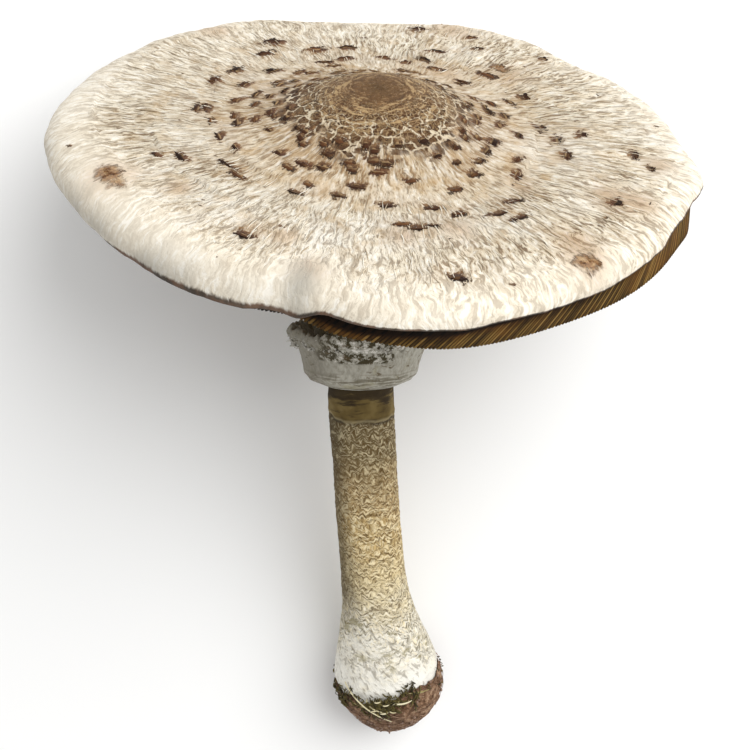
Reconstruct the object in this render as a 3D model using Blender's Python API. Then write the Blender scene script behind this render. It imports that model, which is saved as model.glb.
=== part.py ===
"""Parasol mushroom, picked and laid down on its bulb and on the far side of its cap.

Everything is drawn standing, in millimetres, with the bulb's tip at the origin, the stem going up,
+X to the right and the front of the cap facing -Y. lay_down() then turns it onto its back, so that
the stem lies along Y with the cap at +Y, and the floor is Z = 0.
"""
import math

import bmesh
import bpy
import numpy as np

MM = 0.001
GAP = 0.3                      # room left between two pieces that touch

# cap: its margin's middle, how far it leans to the front and to the right, and its radius
CAP_MIDDLE = np.array([4.4, -3.4, 207.1])
CAP_LEAN_FRONT = 18.6
CAP_LEAN_RIGHT = 4.0
CAP_RADIUS = 96.9
# places where the margin leaves the circle: bearing, half width in degrees, outwards and upwards
LOBES = (
    (-83.0, 13.0, 3.0, 0.0), (-100.0, 6.0, -3.8, 0.8), (-116.0, 12.0, 1.4, 0.0),
    (-148.0, 20.0, -2.2, 0.0), (-52.0, 14.0, -1.5, 0.0), (-8.0, 8.0, 3.0, 0.0),
    (19.0, 9.0, 1.4, 0.0), (42.0, 8.0, -2.2, 0.0), (118.0, 8.0, -1.0, -0.4),
    (130.0, 5.0, -1.6, 0.0), (140.0, 30.0, 0.0, -1.0), (162.0, 20.0, 0.2, 0.0),
    (186.0, 14.0, 1.8, 0.0),
)
# the flat stretch of the far margin, which the cap lies on: bearing, distance and bulge; a negative
# bulge hollows its middle, so that it rests on its two ends
FLAT_BEARING, FLAT_DISTANCE, FLAT_BULGE = 94.6, 89.3, -0.6
CORNER = 1.2                   # how softly the flat stretch meets the circle
# the margin is thicker at the left: where, how widely, and its values there and elsewhere
THICK_BEARING, THICK_SPREAD = 195.0, 62.0
ROLL_WIDTH = (15.0, 9.0)
ROLL_HEIGHT = (9.0, 6.0)
# it is tucked under from the left round to the back: the middle of that stretch, its half width,
# how softly it ends, and the degrees the skin turns through there and at the front right
TUCK_BEARING, TUCK_HALF, TUCK_SOFT = 143.0, 89.0, 20.0
ROLL_TURN = (125.0, 92.0)
# at the right the skin stops short and the gills come out flush with it: bearing and half width,
# the degrees that the skin lacks there, and how much less the gills are set back
OPEN_BEARING, OPEN_SPREAD = -20.0, 16.0
OPEN_TURN, OPEN_SETBACK = 24.0, 3.2
# top: its level, the dome's rise, and the umbo's rise, half width and offset to the right
MIDDLE_HEIGHT = 7.0
CROWN = 2.5
UMBO, UMBO_WIDTH, UMBO_ASIDE = 9.5, 25.0, 1.7
DIP, DIP_RADIUS, DIP_WIDTH = 1.6, 48.0, 14.0
SKIN = 2.5                     # thickness of the flesh at the margin
ROLL_INNER = (32.0, 62.0)      # turns at which the inside of the roll has points
FLESH = 4.0
FLESH_CROWN = 2.0

# gills: depth and set-back of their lower corner from the skin's edge, tucked and not
GILL_DEPTH = (4.0, 11.0)
GILL_SETBACK = (10.0, 4.0)
# stretches of the front where they are shallower: bearing, half width and share of depth lost
GILL_SHALLOWS = ((-88.0, 14.0, 0.38), (-112.0, 10.0, 0.62))
GILL_HOLE = 15.0
GILL_INNER_DEPTH = 13.0        # their depth near the stem
# their lower side, and the two rows of the steep face outside it, as share of the way and of depth
GILL_EDGE = ((0.75, 1.0), (0.45, 1.0), (0.2, 0.85), (0.07, 0.6), (0.0, 0.25))
GILL_FACE = ((0.0, 0.15), (0.5, 0.5), (1.0, 1.0))
GILL_ROOT = 1.6                # the layer that joins the blades
CAP_SIDES = 90                 # every second side is the edge of one blade

# stem: radius of its shaft and bulb, bend and lean to the side, and the neck's forward bend
SHAFT, BULB, BULB_HEIGHT, BULB_SPREAD = 10.7, 8.1, 20.0, 23.0
BEND, BEND_HEIGHT, BEND_SPREAD, LEAN = 4.7, 16.0, 38.0, 0.045
STEM_TOP_RADIUS = 9.3
NECK_HEIGHT = 125.0            # where the stem starts to bend to the front, under the ring
STEM_BEARINGS = [360.0 * side / 32 for side in range(32)]
# ring: the height of its lower edge, how much lower its back is than its front, and its section as
# reach and height from the foot of its bore, going out and up, then down inside the cup
RING_HEIGHT = 128.5
RING_TILT = 8.0
RING_PROFILE = (
    (0.0, 0.0), (1.8, 0.8), (5.0, 2.2), (7.4, 4.2), (8.2, 8.0), (8.9, 12.0), (11.4, 16.8),
    (12.0, 19.6), (11.0, 21.0), (8.0, 17.4), (6.2, 12.0), (5.0, 8.0), (2.6, 5.8), (0.0, 5.4),
)
# soil: thickness, and the height its upper edge reaches on average, more at the right and back
SOIL, SOIL_HEIGHT, SOIL_RIGHT, SOIL_BACK = 1.5, 23.0, 3.0, 1.0
SOIL_EDGE, SOIL_TAPER = 0.35, 8.0   # share of the thickness at its edge, and the taper's length
# heights of the cross-sections that the bulb shares with the soil around it
BULB_SECTIONS = (2.2, 3.2, 5.0, 7.5, 10.5, 14.0, 18.0)

# how the mushroom comes to rest, once it has been turned about its stem and leaned back
REST_SPIN = -6.0
REST_PITCH = -73.65
REST_PLACE = (-3.8, -125.5, 11.8)


def bump(bearing, centre, half_width):
    """A smooth hill in the bearing: 1 at the centre, falling off as exp(-(offset/half_width)^2)."""
    offset = (bearing - centre + 180.0) % 360.0 - 180.0
    return np.exp(-(offset / half_width) ** 2)


def by_thickness(bearing, values):
    """A value that is values[0] at the thick left of the margin and values[1] elsewhere."""
    thick, thin = values
    return thin + (thick - thin) * bump(bearing, THICK_BEARING, THICK_SPREAD)


def by_tuck(bearing, values):
    """A value that is values[0] where the margin is tucked under, and values[1] elsewhere."""
    offset = np.abs((bearing - TUCK_BEARING + 180.0) % 360.0 - 180.0)
    share = 0.5 - 0.5 * np.tanh((offset - TUCK_HALF) / TUCK_SOFT)
    tucked, plain = values
    return plain + (tucked - plain) * share


def margin(bearing):
    """The margin's radius and rise: circle plus lobes, cut by a softened, slightly bulged chord."""
    radius = np.full_like(bearing, CAP_RADIUS)
    rise = np.zeros_like(bearing)
    for centre, half_width, outwards, upwards in LOBES:
        hill = bump(bearing, centre, half_width)
        radius += outwards * hill
        rise += upwards * hill
    turn = np.radians((bearing - FLAT_BEARING + 180.0) % 360.0 - 180.0)
    near = np.clip(turn, -1.2, 1.2)
    bulge = FLAT_BULGE * np.cos(np.clip(3.0 * near, -math.pi / 2, math.pi / 2)) ** 2
    chord = np.where(np.abs(turn) < 1.2, (FLAT_DISTANCE + bulge) / np.cos(near), 10 * CAP_RADIUS)
    share = np.clip(0.5 + 0.5 * (chord - radius) / CORNER, 0.0, 1.0)
    return chord * (1 - share) + radius * share - CORNER * share * (1 - share), rise


def roll_start(bearing):
    """Radius where the cap's top turns down into its rolled margin."""
    return margin(bearing)[0] - by_thickness(bearing, ROLL_WIDTH)


def lift(bearing, r):
    """What the margin's shape adds to the height at radius r: its roll and its rise, nil inside."""
    radius, rise = margin(bearing)
    share = r / radius
    return (by_thickness(bearing, ROLL_HEIGHT) - MIDDLE_HEIGHT) * share ** 2 + rise * share ** 4


def top_height(bearing, r):
    """Height of the cap's top: a low dome, the umbo, which is flat on top, and a dip around it.

    The umbo is exp(-(distance / width)^3) from its own centre, the dip a Gaussian in the radius.
    """
    x = np.clip(r / roll_start(bearing), 0.0, 1.0)
    distance = np.sqrt(r * r + UMBO_ASIDE ** 2 - 2 * r * UMBO_ASIDE * np.cos(np.radians(bearing)))
    umbo = UMBO * np.exp(-(distance / UMBO_WIDTH) ** 3)
    dip = DIP * np.exp(-((r - DIP_RADIUS) / DIP_WIDTH) ** 2)
    return MIDDLE_HEIGHT + CROWN * (1 - x * x) ** 2 + umbo - dip + lift(bearing, r)


def flesh_height(bearing, r):
    """Height of the flesh's underside: a flatter dome under the top, with no umbo."""
    x = np.clip(r / roll_start(bearing), 0.0, 1.0)
    thin = (FLESH - SKIN) * (1 - x)
    return MIDDLE_HEIGHT - SKIN - thin + FLESH_CROWN * (1 - x * x) ** 2 + lift(bearing, r)


def roll(bearing, degrees, inset):
    """Point (r, z) of the rolled margin after a turn: an ellipse arc, moved inwards by inset."""
    radius, rise = margin(bearing)
    width = by_thickness(bearing, ROLL_WIDTH)
    height = by_thickness(bearing, ROLL_HEIGHT)
    turn = np.radians(degrees)
    r = radius - width + (width - inset) * np.sin(turn)
    return r, (height - inset) * np.cos(turn) + rise * (r / radius) ** 4


def edge_turn(bearing):
    """Degrees that the skin turns through at the margin before it ends."""
    return by_tuck(bearing, ROLL_TURN) - OPEN_TURN * bump(bearing, OPEN_BEARING, OPEN_SPREAD)


def gill_corner(bearing):
    """The blades' lower outer corner (r, z): set back from the skin's edge, and below it."""
    edge_r, edge_z = roll(bearing, edge_turn(bearing), 0.0)
    setback = by_tuck(bearing, GILL_SETBACK)
    setback = setback - OPEN_SETBACK * bump(bearing, OPEN_BEARING, OPEN_SPREAD)
    depth = by_tuck(bearing, GILL_DEPTH)
    for centre, half_width, lost in GILL_SHALLOWS:
        depth = depth * (1 - lost * bump(bearing, centre, half_width))
    return edge_r - setback, edge_z - depth


def cap_axes():
    """Rows: the cap's own X, Y and Z axes in the standing frame."""
    front, right = math.radians(CAP_LEAN_FRONT), math.radians(CAP_LEAN_RIGHT)
    about_y = np.array([[math.cos(right), 0, math.sin(right)], [0, 1, 0],
                        [-math.sin(right), 0, math.cos(right)]])
    about_x = np.array([[1, 0, 0], [0, math.cos(front), -math.sin(front)],
                        [0, math.sin(front), math.cos(front)]])
    return (about_x @ about_y).T


def from_cap(bearing, r, z):
    """Polar coordinates of the cap to points of the standing frame."""
    angle = np.radians(bearing)
    local = np.stack([r * np.cos(angle), r * np.sin(angle), z + 0 * r], axis=-1)
    return local @ cap_axes() + CAP_MIDDLE


def stem_frame(height):
    """Centre of the stem at a height, and the two directions across it.

    Below the ring the centre moves aside by a Gaussian bend and a small lean. Above it a Hermite
    curve leads from the ring to the underside of the cap, and the cross-section turns with it.
    """
    neck_end = float(flesh_height(np.zeros(1), np.zeros(1))[0]) - GAP
    up = cap_axes()[2]
    top = CAP_MIDDLE + neck_end * up
    if height <= NECK_HEIGHT:
        aside = BEND * math.exp(-((height - BEND_HEIGHT) / BEND_SPREAD) ** 2)
        aside += LEAN * (NECK_HEIGHT - height)
        return np.array([aside, 0.0, height]), np.array([1.0, 0, 0]), np.array([0, 1.0, 0])
    start = np.array([0.0, 0.0, NECK_HEIGHT])
    length = np.linalg.norm(top - start)
    t = (height - NECK_HEIGHT) / length
    along = np.array([0, 0, 1.0]) * length
    leave = up * length
    centre = ((2 * t ** 3 - 3 * t ** 2 + 1) * start + (t ** 3 - 2 * t ** 2 + t) * along
              + (3 * t ** 2 - 2 * t ** 3) * top + (t ** 3 - t ** 2) * leave)
    axis = (1 - t ** 2) * np.array([0, 0, 1.0]) + t ** 2 * up
    axis /= np.linalg.norm(axis)
    across = np.array([1.0, 0, 0]) - axis[0] * axis
    across /= np.linalg.norm(across)
    return centre, across, np.cross(axis, across)


def neck_length():
    """Length of the stem between the ring's lower edge and the cap."""
    neck_end = float(flesh_height(np.zeros(1), np.zeros(1))[0]) - GAP
    top = CAP_MIDDLE + neck_end * cap_axes()[2]
    return float(np.linalg.norm(top - np.array([0.0, 0.0, NECK_HEIGHT])))


def body_radius(height):
    """Radius of stem and soil together: shaft, a Gaussian bulb, and a round end below it."""
    radius = SHAFT + BULB * math.exp(-((height - BULB_HEIGHT) / BULB_SPREAD) ** 2)
    if height < BULB_HEIGHT:
        radius *= math.sqrt(max(0.0, 1 - ((BULB_HEIGHT - height) / BULB_HEIGHT) ** 2))
    above = max(0.0, (height - NECK_HEIGHT) / neck_length())
    return radius + (STEM_TOP_RADIUS - SHAFT) * above


def soil_edge(bearing):
    """Height of the soil's upper edge: an average, plus a slope to the right and to the back."""
    angle = math.radians(bearing)
    return SOIL_HEIGHT + SOIL_RIGHT * math.cos(angle) + SOIL_BACK * math.sin(angle)


def soil_depth(bearing, height):
    """Thickness of the soil: full at the end of the bulb, tapering to nothing above its edge."""
    return SOIL * min(1.0, max(0.0, SOIL_EDGE + (soil_edge(bearing) - height) / SOIL_TAPER))


def around_stem(bearing, height, reach, slide=0.0):
    """A point at a reach from the stem's centre line, moved along the stem by slide."""
    centre, across, front_back = stem_frame(height)
    angle = math.radians(bearing)
    outwards = across * math.cos(angle) + front_back * math.sin(angle)
    return centre + outwards * reach + np.cross(across, front_back) * slide


def stem_reach(bearing, height):
    """Radius of the stem itself, which is thinner by the soil and a gap where soil covers it."""
    fade = SOIL_EDGE * SOIL_TAPER
    gap = GAP * min(1.0, max(0.0, (soil_edge(bearing) + fade - height) / fade))
    return body_radius(height) - soil_depth(bearing, height) - gap


def lay_down(points):
    """Turns standing points about the stem, leans them onto their back, and puts them in place."""
    spin, pitch = math.radians(REST_SPIN), math.radians(REST_PITCH)
    about_z = np.array([[math.cos(spin), -math.sin(spin), 0], [math.sin(spin), math.cos(spin), 0],
                        [0, 0, 1]])
    about_x = np.array([[1, 0, 0], [0, math.cos(pitch), -math.sin(pitch)],
                        [0, math.sin(pitch), math.cos(pitch)]])
    return (np.asarray(points) @ (about_x @ about_z).T + np.array(REST_PLACE)) * MM


def make_solid(name, rings, material, poles):
    """A closed solid from rings of points; poles closes both ends, otherwise the rings close up."""
    mesh = bmesh.new()
    rows = [[mesh.verts.new(point) for point in lay_down(ring)] for ring in rings]
    pairs = list(zip(rows[:-1], rows[1:]))
    if not poles:
        pairs.append((rows[-1], rows[0]))
    for lower, upper in pairs:
        for side in range(len(lower)):
            after = (side + 1) % len(lower)
            mesh.faces.new((lower[side], lower[after], upper[after], upper[side]))
    if poles:
        for row in (rows[0], rows[-1]):
            middle = mesh.verts.new(sum((vert.co for vert in row), row[0].co * 0) / len(row))
            for side in range(len(row)):
                mesh.faces.new((middle, row[side], row[(side + 1) % len(row)]))
    bmesh.ops.recalc_face_normals(mesh, faces=mesh.faces)
    bmesh.ops.triangulate(mesh, faces=mesh.faces)
    data = bpy.data.meshes.new(name)
    mesh.to_mesh(data)
    mesh.free()
    data.shade_smooth()
    data.materials.append(material)
    part = bpy.data.objects.new(name, data)
    bpy.context.collection.objects.link(part)
    return part


def finish(name, colour, roughness):
    """A plain Principled material."""
    material = bpy.data.materials.new(name)
    material.use_nodes = True
    shader = material.node_tree.nodes["Principled BSDF"]
    shader.inputs["Base Color"].default_value = (*colour, 1.0)
    shader.inputs["Roughness"].default_value = roughness
    return material


def flesh_radii(bearing):
    """Radii where both the cap's underside and the gills' root have points, from the hole out."""
    return [GILL_HOLE + (roll_start(bearing) - GILL_HOLE) * share
            for share in (0.0, 0.12, 0.3, 0.55, 0.8, 1.0)]


def make_cap(bearing):
    """The cap: top from the umbo to the rolled edge, then back along the underside of the flesh."""
    rings = []
    for share in (0.05, 0.11, 0.18, 0.25, 0.33, 0.42, 0.52, 0.64, 0.77, 0.89, 1.0):
        r = roll_start(bearing) * share
        rings.append(from_cap(bearing, r, top_height(bearing, r)))
    edge = edge_turn(bearing)
    for share in (0.3, 0.55, 0.78, 1.0):
        rings.append(from_cap(bearing, *roll(bearing, edge * share, 0.0)))
    for degrees in (edge, ROLL_INNER[1], ROLL_INNER[0]):
        rings.append(from_cap(bearing, *roll(bearing, degrees, SKIN)))
    for r in reversed(flesh_radii(bearing)):
        rings.append(from_cap(bearing, r, flesh_height(bearing, r)))
    centre = np.full_like(bearing, STEM_TOP_RADIUS + 1.0)
    level = flesh_height(np.zeros(1), np.zeros(1))[0]
    rings.append(from_cap(bearing, centre, level + 0 * bearing))
    return make_solid("cap", rings, finish("cap_skin", (0.78, 0.69, 0.54), 0.85), True)


def make_gills(bearing):
    """The gills: a thin root under the flesh, with a blade on every second side of the circle.

    The blades' edges drop from the hole, run level, and end in a steep face under the margin.
    """
    upper = []
    for r in flesh_radii(bearing):
        upper.append((r, flesh_height(bearing, r) - GAP))
    for degrees in ROLL_INNER:
        upper.append(roll(bearing, degrees, SKIN + GAP))
    corner_r, corner_z = gill_corner(bearing)
    valley = np.arange(len(bearing)) % 2 == 1
    rings = [from_cap(bearing, r, z) for r, z in upper]
    lip_r, lip_z = upper[-1]
    for share, depth in GILL_FACE:
        r = lip_r + (corner_r - lip_r) * share
        low = lip_z + (corner_z - lip_z) * depth
        high = np.minimum(lip_z - GILL_ROOT, flesh_height(bearing, r) - GAP - GILL_ROOT)
        rings.append(from_cap(bearing, r, np.where(valley, high, low)))
    for share, depth in GILL_EDGE:
        r = GILL_HOLE + (corner_r - GILL_HOLE) * share
        root = flesh_height(bearing, r) - GAP - GILL_ROOT
        full = corner_z * share + (root[0] - GILL_INNER_DEPTH) * (1 - share)
        rings.append(from_cap(bearing, r, np.where(valley, root, root + (full - root) * depth)))
    return make_solid("gills", rings, finish("gill_tissue", (0.30, 0.18, 0.07), 0.8), False)


def make_stem():
    """The stem: round sections from the bulb's end, thinner where soil sits on it, to the cap."""
    heights = list(BULB_SECTIONS) + [22.0, 27.0, 33.0, 40.0, 48.0, 60.0, 78.0, 98.0, 118.0]
    heights += [NECK_HEIGHT + neck_length() * share for share in (0, 0.15, 0.35, 0.55, 0.8, 1)]
    rings = [[around_stem(bearing, height, stem_reach(bearing, height)) for bearing in STEM_BEARINGS]
             for height in heights]
    return make_solid("stem", rings, finish("stem_skin", (0.60, 0.47, 0.28), 0.8), True)


def make_ring():
    """The ring: a thick upright cup around the stem, flared at its top, leaning back a little."""
    slope = math.tan(math.radians(RING_TILT))
    bore = body_radius(RING_HEIGHT) + GAP
    rings = []
    for outwards, upwards in RING_PROFILE:
        reach = bore + outwards
        rings.append([around_stem(bearing, RING_HEIGHT + upwards, reach,
                                  -slope * reach * math.sin(math.radians(bearing)))
                      for bearing in STEM_BEARINGS])
    return make_solid("ring", rings, finish("ring_wool", (0.50, 0.48, 0.42), 0.95), False)


def make_soil():
    """The soil: a thin cup of earth that clings to the bulb, thinning out to its upper edge."""
    outside = [(height, 0.0) for height in (0.5, 1.3) + BULB_SECTIONS[1:]]
    outside += [(BULB_SECTIONS[-1], 0.5), (BULB_SECTIONS[-1], 1.0)]
    inside = [(height, 0.0) for height in (BULB_SECTIONS[0] - GAP,) + BULB_SECTIONS[1:]]
    inside += [(BULB_SECTIONS[-1], 0.5), (BULB_SECTIONS[-1], 1.0)]
    rings = [soil_ring(height, share, 0.0) for height, share in outside]
    rings += [soil_ring(height, share, 1.0) for height, share in reversed(inside)]
    return make_solid("soil", rings, finish("earth", (0.16, 0.09, 0.06), 0.95), True)


def soil_ring(height, share, inset):
    """Points around the bulb at a height, raised by a share of the way to the soil's edge."""
    ring = []
    for bearing in STEM_BEARINGS:
        level = height + (soil_edge(bearing) - height) * share
        reach = body_radius(level) - inset * soil_depth(bearing, level)
        ring.append(around_stem(bearing, level, reach))
    return ring


def main():
    """Clears the scene and builds the five pieces."""
    for old in list(bpy.data.objects):
        bpy.data.objects.remove(old, do_unlink=True)
    bearing = np.arange(CAP_SIDES) * 360.0 / CAP_SIDES
    make_cap(bearing)
    make_gills(bearing)
    make_stem()
    make_ring()
    make_soil()


main()
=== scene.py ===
"""Looks of a parasol mushroom that lies on its bulb and on the far side of its cap.

Shapes are worked out standing, in millimetres: the bulb's tip at the origin, the stem going up, +X
to the right and the front of the cap facing -Y. lay_down() turns them into the frame's place.
Bearings are degrees round the stem or the cap, 0 to the right and -90 to the front.
"""
import math

import bpy
import numpy as np
from mathutils import Matrix, Vector


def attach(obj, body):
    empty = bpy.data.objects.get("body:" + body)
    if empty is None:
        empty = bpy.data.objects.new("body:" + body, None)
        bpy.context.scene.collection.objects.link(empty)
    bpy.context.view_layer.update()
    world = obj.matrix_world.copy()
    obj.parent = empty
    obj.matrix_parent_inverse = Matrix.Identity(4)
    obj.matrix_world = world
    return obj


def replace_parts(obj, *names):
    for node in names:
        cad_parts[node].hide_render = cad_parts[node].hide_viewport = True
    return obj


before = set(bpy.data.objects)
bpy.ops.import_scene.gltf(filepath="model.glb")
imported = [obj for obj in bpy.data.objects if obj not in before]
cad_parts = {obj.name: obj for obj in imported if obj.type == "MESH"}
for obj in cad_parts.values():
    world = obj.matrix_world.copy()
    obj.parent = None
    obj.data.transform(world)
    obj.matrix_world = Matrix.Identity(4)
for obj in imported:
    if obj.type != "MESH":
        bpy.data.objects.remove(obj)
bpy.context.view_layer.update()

MM = 0.001
GAP = 0.3
FLOOR_GAP = 0.05               # nothing comes nearer to the floor than this

# cap, as in the frame: middle of its margin, leans in degrees, radius, and lobes of the margin as
# bearing, half width, outwards and upwards
CAP_MIDDLE = np.array([4.4, -3.4, 207.1])
CAP_LEAN_FRONT, CAP_LEAN_RIGHT = 18.6, 4.0
CAP_RADIUS = 96.9
LOBES = (
    (-83.0, 13.0, 3.0, 0.0), (-100.0, 6.0, -3.8, 0.8), (-116.0, 12.0, 1.4, 0.0),
    (-148.0, 20.0, -2.2, 0.0), (-52.0, 14.0, -1.5, 0.0), (-8.0, 8.0, 3.0, 0.0),
    (19.0, 9.0, 1.4, 0.0), (42.0, 8.0, -2.2, 0.0), (118.0, 8.0, -1.0, -0.4),
    (130.0, 5.0, -1.6, 0.0), (140.0, 30.0, 0.0, -1.0), (162.0, 20.0, 0.2, 0.0),
    (186.0, 14.0, 1.8, 0.0),
)
FLAT_BEARING, FLAT_DISTANCE, FLAT_BULGE, FLAT_HALF_TURN, CORNER = 94.6, 89.3, -0.6, 1.2, 1.2
THICK_BEARING, THICK_SPREAD = 195.0, 62.0
ROLL_WIDTH, ROLL_HEIGHT = (15.0, 9.0), (9.0, 6.0)
TUCK_BEARING, TUCK_HALF, TUCK_SOFT = 143.0, 89.0, 20.0
ROLL_TURN = (125.0, 92.0)
OPEN_BEARING, OPEN_SPREAD, OPEN_TURN, OPEN_SETBACK = -20.0, 16.0, 24.0, 3.2
MIDDLE_HEIGHT, CROWN = 7.0, 2.5
UMBO, UMBO_WIDTH, UMBO_ASIDE = 9.5, 25.0, 1.7
DIP, DIP_RADIUS, DIP_WIDTH = 1.6, 48.0, 14.0
SKIN, FLESH, FLESH_CROWN = 2.5, 4.0, 2.0
# gills, as in the frame
GILL_DEPTH, GILL_SETBACK = (4.0, 11.0), (10.0, 4.0)
GILL_SHALLOWS = ((-88.0, 14.0, 0.40), (-112.0, 12.0, 0.66), (-140.0, 22.0, 0.75))
GILL_HOLE, GILL_INNER_DEPTH, GILL_ROOT = 15.0, 13.0, 1.6
# stem, ring and soil, as in the frame
SHAFT, BULB, BULB_HEIGHT, BULB_SPREAD = 10.7, 8.1, 20.0, 23.0
BEND, BEND_HEIGHT, BEND_SPREAD, LEAN = 4.7, 16.0, 38.0, 0.045
STEM_TOP_RADIUS, NECK_HEIGHT = 9.3, 125.0
RING_HEIGHT, RING_TILT = 128.5, 8.0
RING_PROFILE = (
    (0.0, 0.0), (1.8, 0.8), (5.0, 2.2), (7.4, 4.2), (8.2, 8.0), (8.9, 12.0), (11.4, 16.8),
    (12.0, 19.6), (11.0, 21.0), (8.0, 17.4), (6.2, 12.0), (5.0, 8.0), (2.6, 5.8), (0.0, 5.4),
)
SOIL, SOIL_HEIGHT, SOIL_RIGHT, SOIL_BACK = 1.5, 23.0, 3.0, 1.0
SOIL_EDGE, SOIL_TAPER = 0.35, 8.0
REST_SPIN, REST_PITCH, REST_PLACE = -6.0, -73.65, np.array([-3.8, -125.5, 11.8])

# skin of the cap: an even fine swell, the crease at the front left, and its wavy lower edge
SKIN_SWELL = ((26.0, 0.55), (11.0, 0.22), (4.5, 0.10))
CREASE_BEARING, CREASE_WIDTH, CREASE_DEPTH, CREASE_FROM = -101.5, 2.6, 1.9, 74.0
EDGE_WAVES = ((-53.0, 8.0, 9.0), (-30.0, 5.0, -12.0), (-101.0, 3.0, 12.0), (-75.0, 4.0, 7.0))
# dark rim at the skin's edge, partly painted shade: its widths at the left and elsewhere, and where and how
# widely the left width holds
RIM_WIDTH, RIM_BEARING, RIM_SPREAD = (4.2, 0.8), -128.0, 30.0
# scales: rows go outwards by a constant ratio, each with the same number of places, and the share
# of places that keep their scale depends on the distance
SCALE_ROWS, SCALE_FIRST, SCALE_RATIO, SCALES_PER_ROW = 6, 26.0, 1.17, 29
KEPT_DISTANCE, KEPT_SHARE = (26, 31, 38, 48, 62), (0.75, 0.95, 0.90, 0.66, 0.26)
SPECKS, CRUMBS_PER_PATCH = 46, 5
# single larger scales: bearing, distance from the umbo, width across, length outwards
LONE_SCALES = (
    (121.0, 68.0, 10.0, 6.0), (99.0, 59.0, 7.0, 4.0), (71.0, 64.0, 6.0, 4.0),
    (79.0, 80.0, 6.0, 6.0), (75.0, 92.0, 5.0, 5.0), (66.0, 82.0, 4.0, 4.0),
    (61.0, 73.0, 5.0, 4.0), (46.0, 82.0, 5.0, 4.0), (87.0, 53.0, 6.0, 3.0),
    (73.0, 55.0, 6.0, 4.0), (49.0, 56.0, 8.0, 4.0), (-53.0, 65.0, 7.5, 3.0),
    (-30.0, 78.0, 6.0, 5.0), (-12.0, 58.0, 5.5, 4.0), (2.0, 63.0, 5.0, 4.5),
    (-7.0, 78.0, 7.0, 4.0), (-12.0, 83.0, 4.0, 3.5), (-154.0, 69.0, 5.0, 3.0),
    (-151.0, 63.0, 7.0, 4.5), (-143.0, 52.5, 8.0, 5.0), (-103.0, 46.5, 4.5, 4.0),
    (-83.5, 59.5, 6.5, 3.0), (-79.5, 61.5, 6.5, 4.0), (-75.5, 60.5, 4.0, 3.0),
    (-76.0, 86.0, 5.5, 6.0), (-116.0, 50.0, 5.5, 3.0), (-115.0, 45.0, 4.0, 3.5),
    (30.0, 55.0, 5.0, 4.5), (7.0, 51.0, 5.0, 5.0), (-23.0, 45.0, 5.5, 3.5),
    (-152.0, 46.0, 4.5, 3.0), (-116.0, 78.0, 6.0, 4.5),
)
# torn pale patches near the margin: bearing, distance, width, length
PATCHES = ((-148.5, 84.0, 14.0, 8.0), (-52.0, 90.0, 10.5, 8.0), (50.0, 64.0, 10.0, 6.0))
# faint tan smudges: bearing, distance, reach
SMUDGES = (
    (-116.0, 74.0, 4.0), (-109.0, 74.0, 4.0), (-101.0, 86.0, 4.5), (-138.0, 72.0, 4.0),
    (-49.0, 81.0, 6.0), (-28.0, 76.0, 7.0), (-28.0, 84.0, 6.0), (-84.0, 66.0, 5.0),
    (-38.0, 52.0, 5.0), (-70.0, 64.0, 6.0), (-10.0, 86.0, 5.0), (71.0, 85.0, 8.0),
    (130.0, 86.0, 6.0), (45.0, 62.0, 8.0), (62.0, 48.0, 6.0), (-52.0, 90.0, 7.0),
    (-148.5, 84.0, 8.0),
)
# raised flakes: smallest scale that has one, shares of its width and length, and its move outwards
FLAKE_LEAST, FLAKE_SIZE, FLAKE_MOVE = 2.6, (1.0, 1.0, 0.66, 0.48), 0.14
FLAKE_CURL, FLAKE_THICK, FLAKE_JAG, FLAKE_SECTORS = 0.42, 0.16, 0.46, 15
GILLS_OF_EACH = 126            # full blades; as many half ones and twice as many short ones between
# straw on the soil: bearing, height, turn, climb, stand and width, and its tone
STRAW = np.array([
    (-142.0, 25.0, 54.0, -12.0, 0.9, 0.26, 0.8), (-88.0, 21.0, 22.0, 0.5, 1.1, 0.30, 0.9),
    (-112.0, 19.5, 18.0, -2.0, 0.9, 0.22, 0.5), (-106.0, 21.5, 8.0, 0.4, 1.2, 0.26, 0.7),
    (-110.0, 17.5, 9.0, 1.2, 1.0, 0.28, 1.0), (-98.0, 20.5, 9.0, 0.6, 1.2, 0.24, 0.8),
    (-101.0, 17.0, 10.0, 0.8, 1.0, 0.30, 0.9), (-92.0, 18.5, 9.0, -0.8, 1.1, 0.22, 0.6),
])
# stage: lamps as name, direction, distance, width and power; and the camera on the standing shape
WORLD_LIGHT = 0.65
LAMPS = (("key", (0.68, -0.84, 0.75), 1.20, 1.20, 12.5), ("fill", (0.1, -1.0, 0.5), 1.6, 1.4, 2.0))
EYE, EYE_ANGLE, EYE_ELEVATION = (4.59, -405.77, 263.74), 32.0, 18.0
HASH = np.array([374761393, 668265263, 2147483647])


# ---------------------------------------------------------------- fields and grids
def grain(points, size, seed):
    """Smooth random field from -1 to 1: hashed values at lattice corners size apart, blended."""
    place = np.asarray(points, float) / size + 31.7 * seed
    cell = np.floor(place).astype(np.int64)
    part = place - cell
    part = part * part * (3 - 2 * part)
    total = 0.0
    for corner in np.ndindex(2, 2, 2):
        mixed = ((cell + corner) * HASH).sum(axis=-1) & 0xFFFFFFFF
        mixed = ((mixed ^ (mixed >> 13)) * 1274126177) & 0xFFFFFFFF
        value = (mixed ^ (mixed >> 16)) / 2.0 ** 31 - 1
        share = np.prod(np.where(np.array(corner) == 1, part, 1 - part), axis=-1)
        total = total + value * share
    return total


def rough(points, size, seed, octaves=4):
    """Sum of grains, each half as large and half as strong as the one before."""
    return sum(grain(points, size / 2 ** k, seed + k) / 2 ** k for k in range(octaves))


def fade(value, low, high):
    """0 below low, 1 above high, and a smooth step between."""
    share = np.clip((value - low) / (high - low), 0.0, 1.0)
    return share * share * (3 - 2 * share)


def blend(values, share):
    """values[0] where the share is 1, values[1] where it is 0."""
    return values[1] + (values[0] - values[1]) * share


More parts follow.
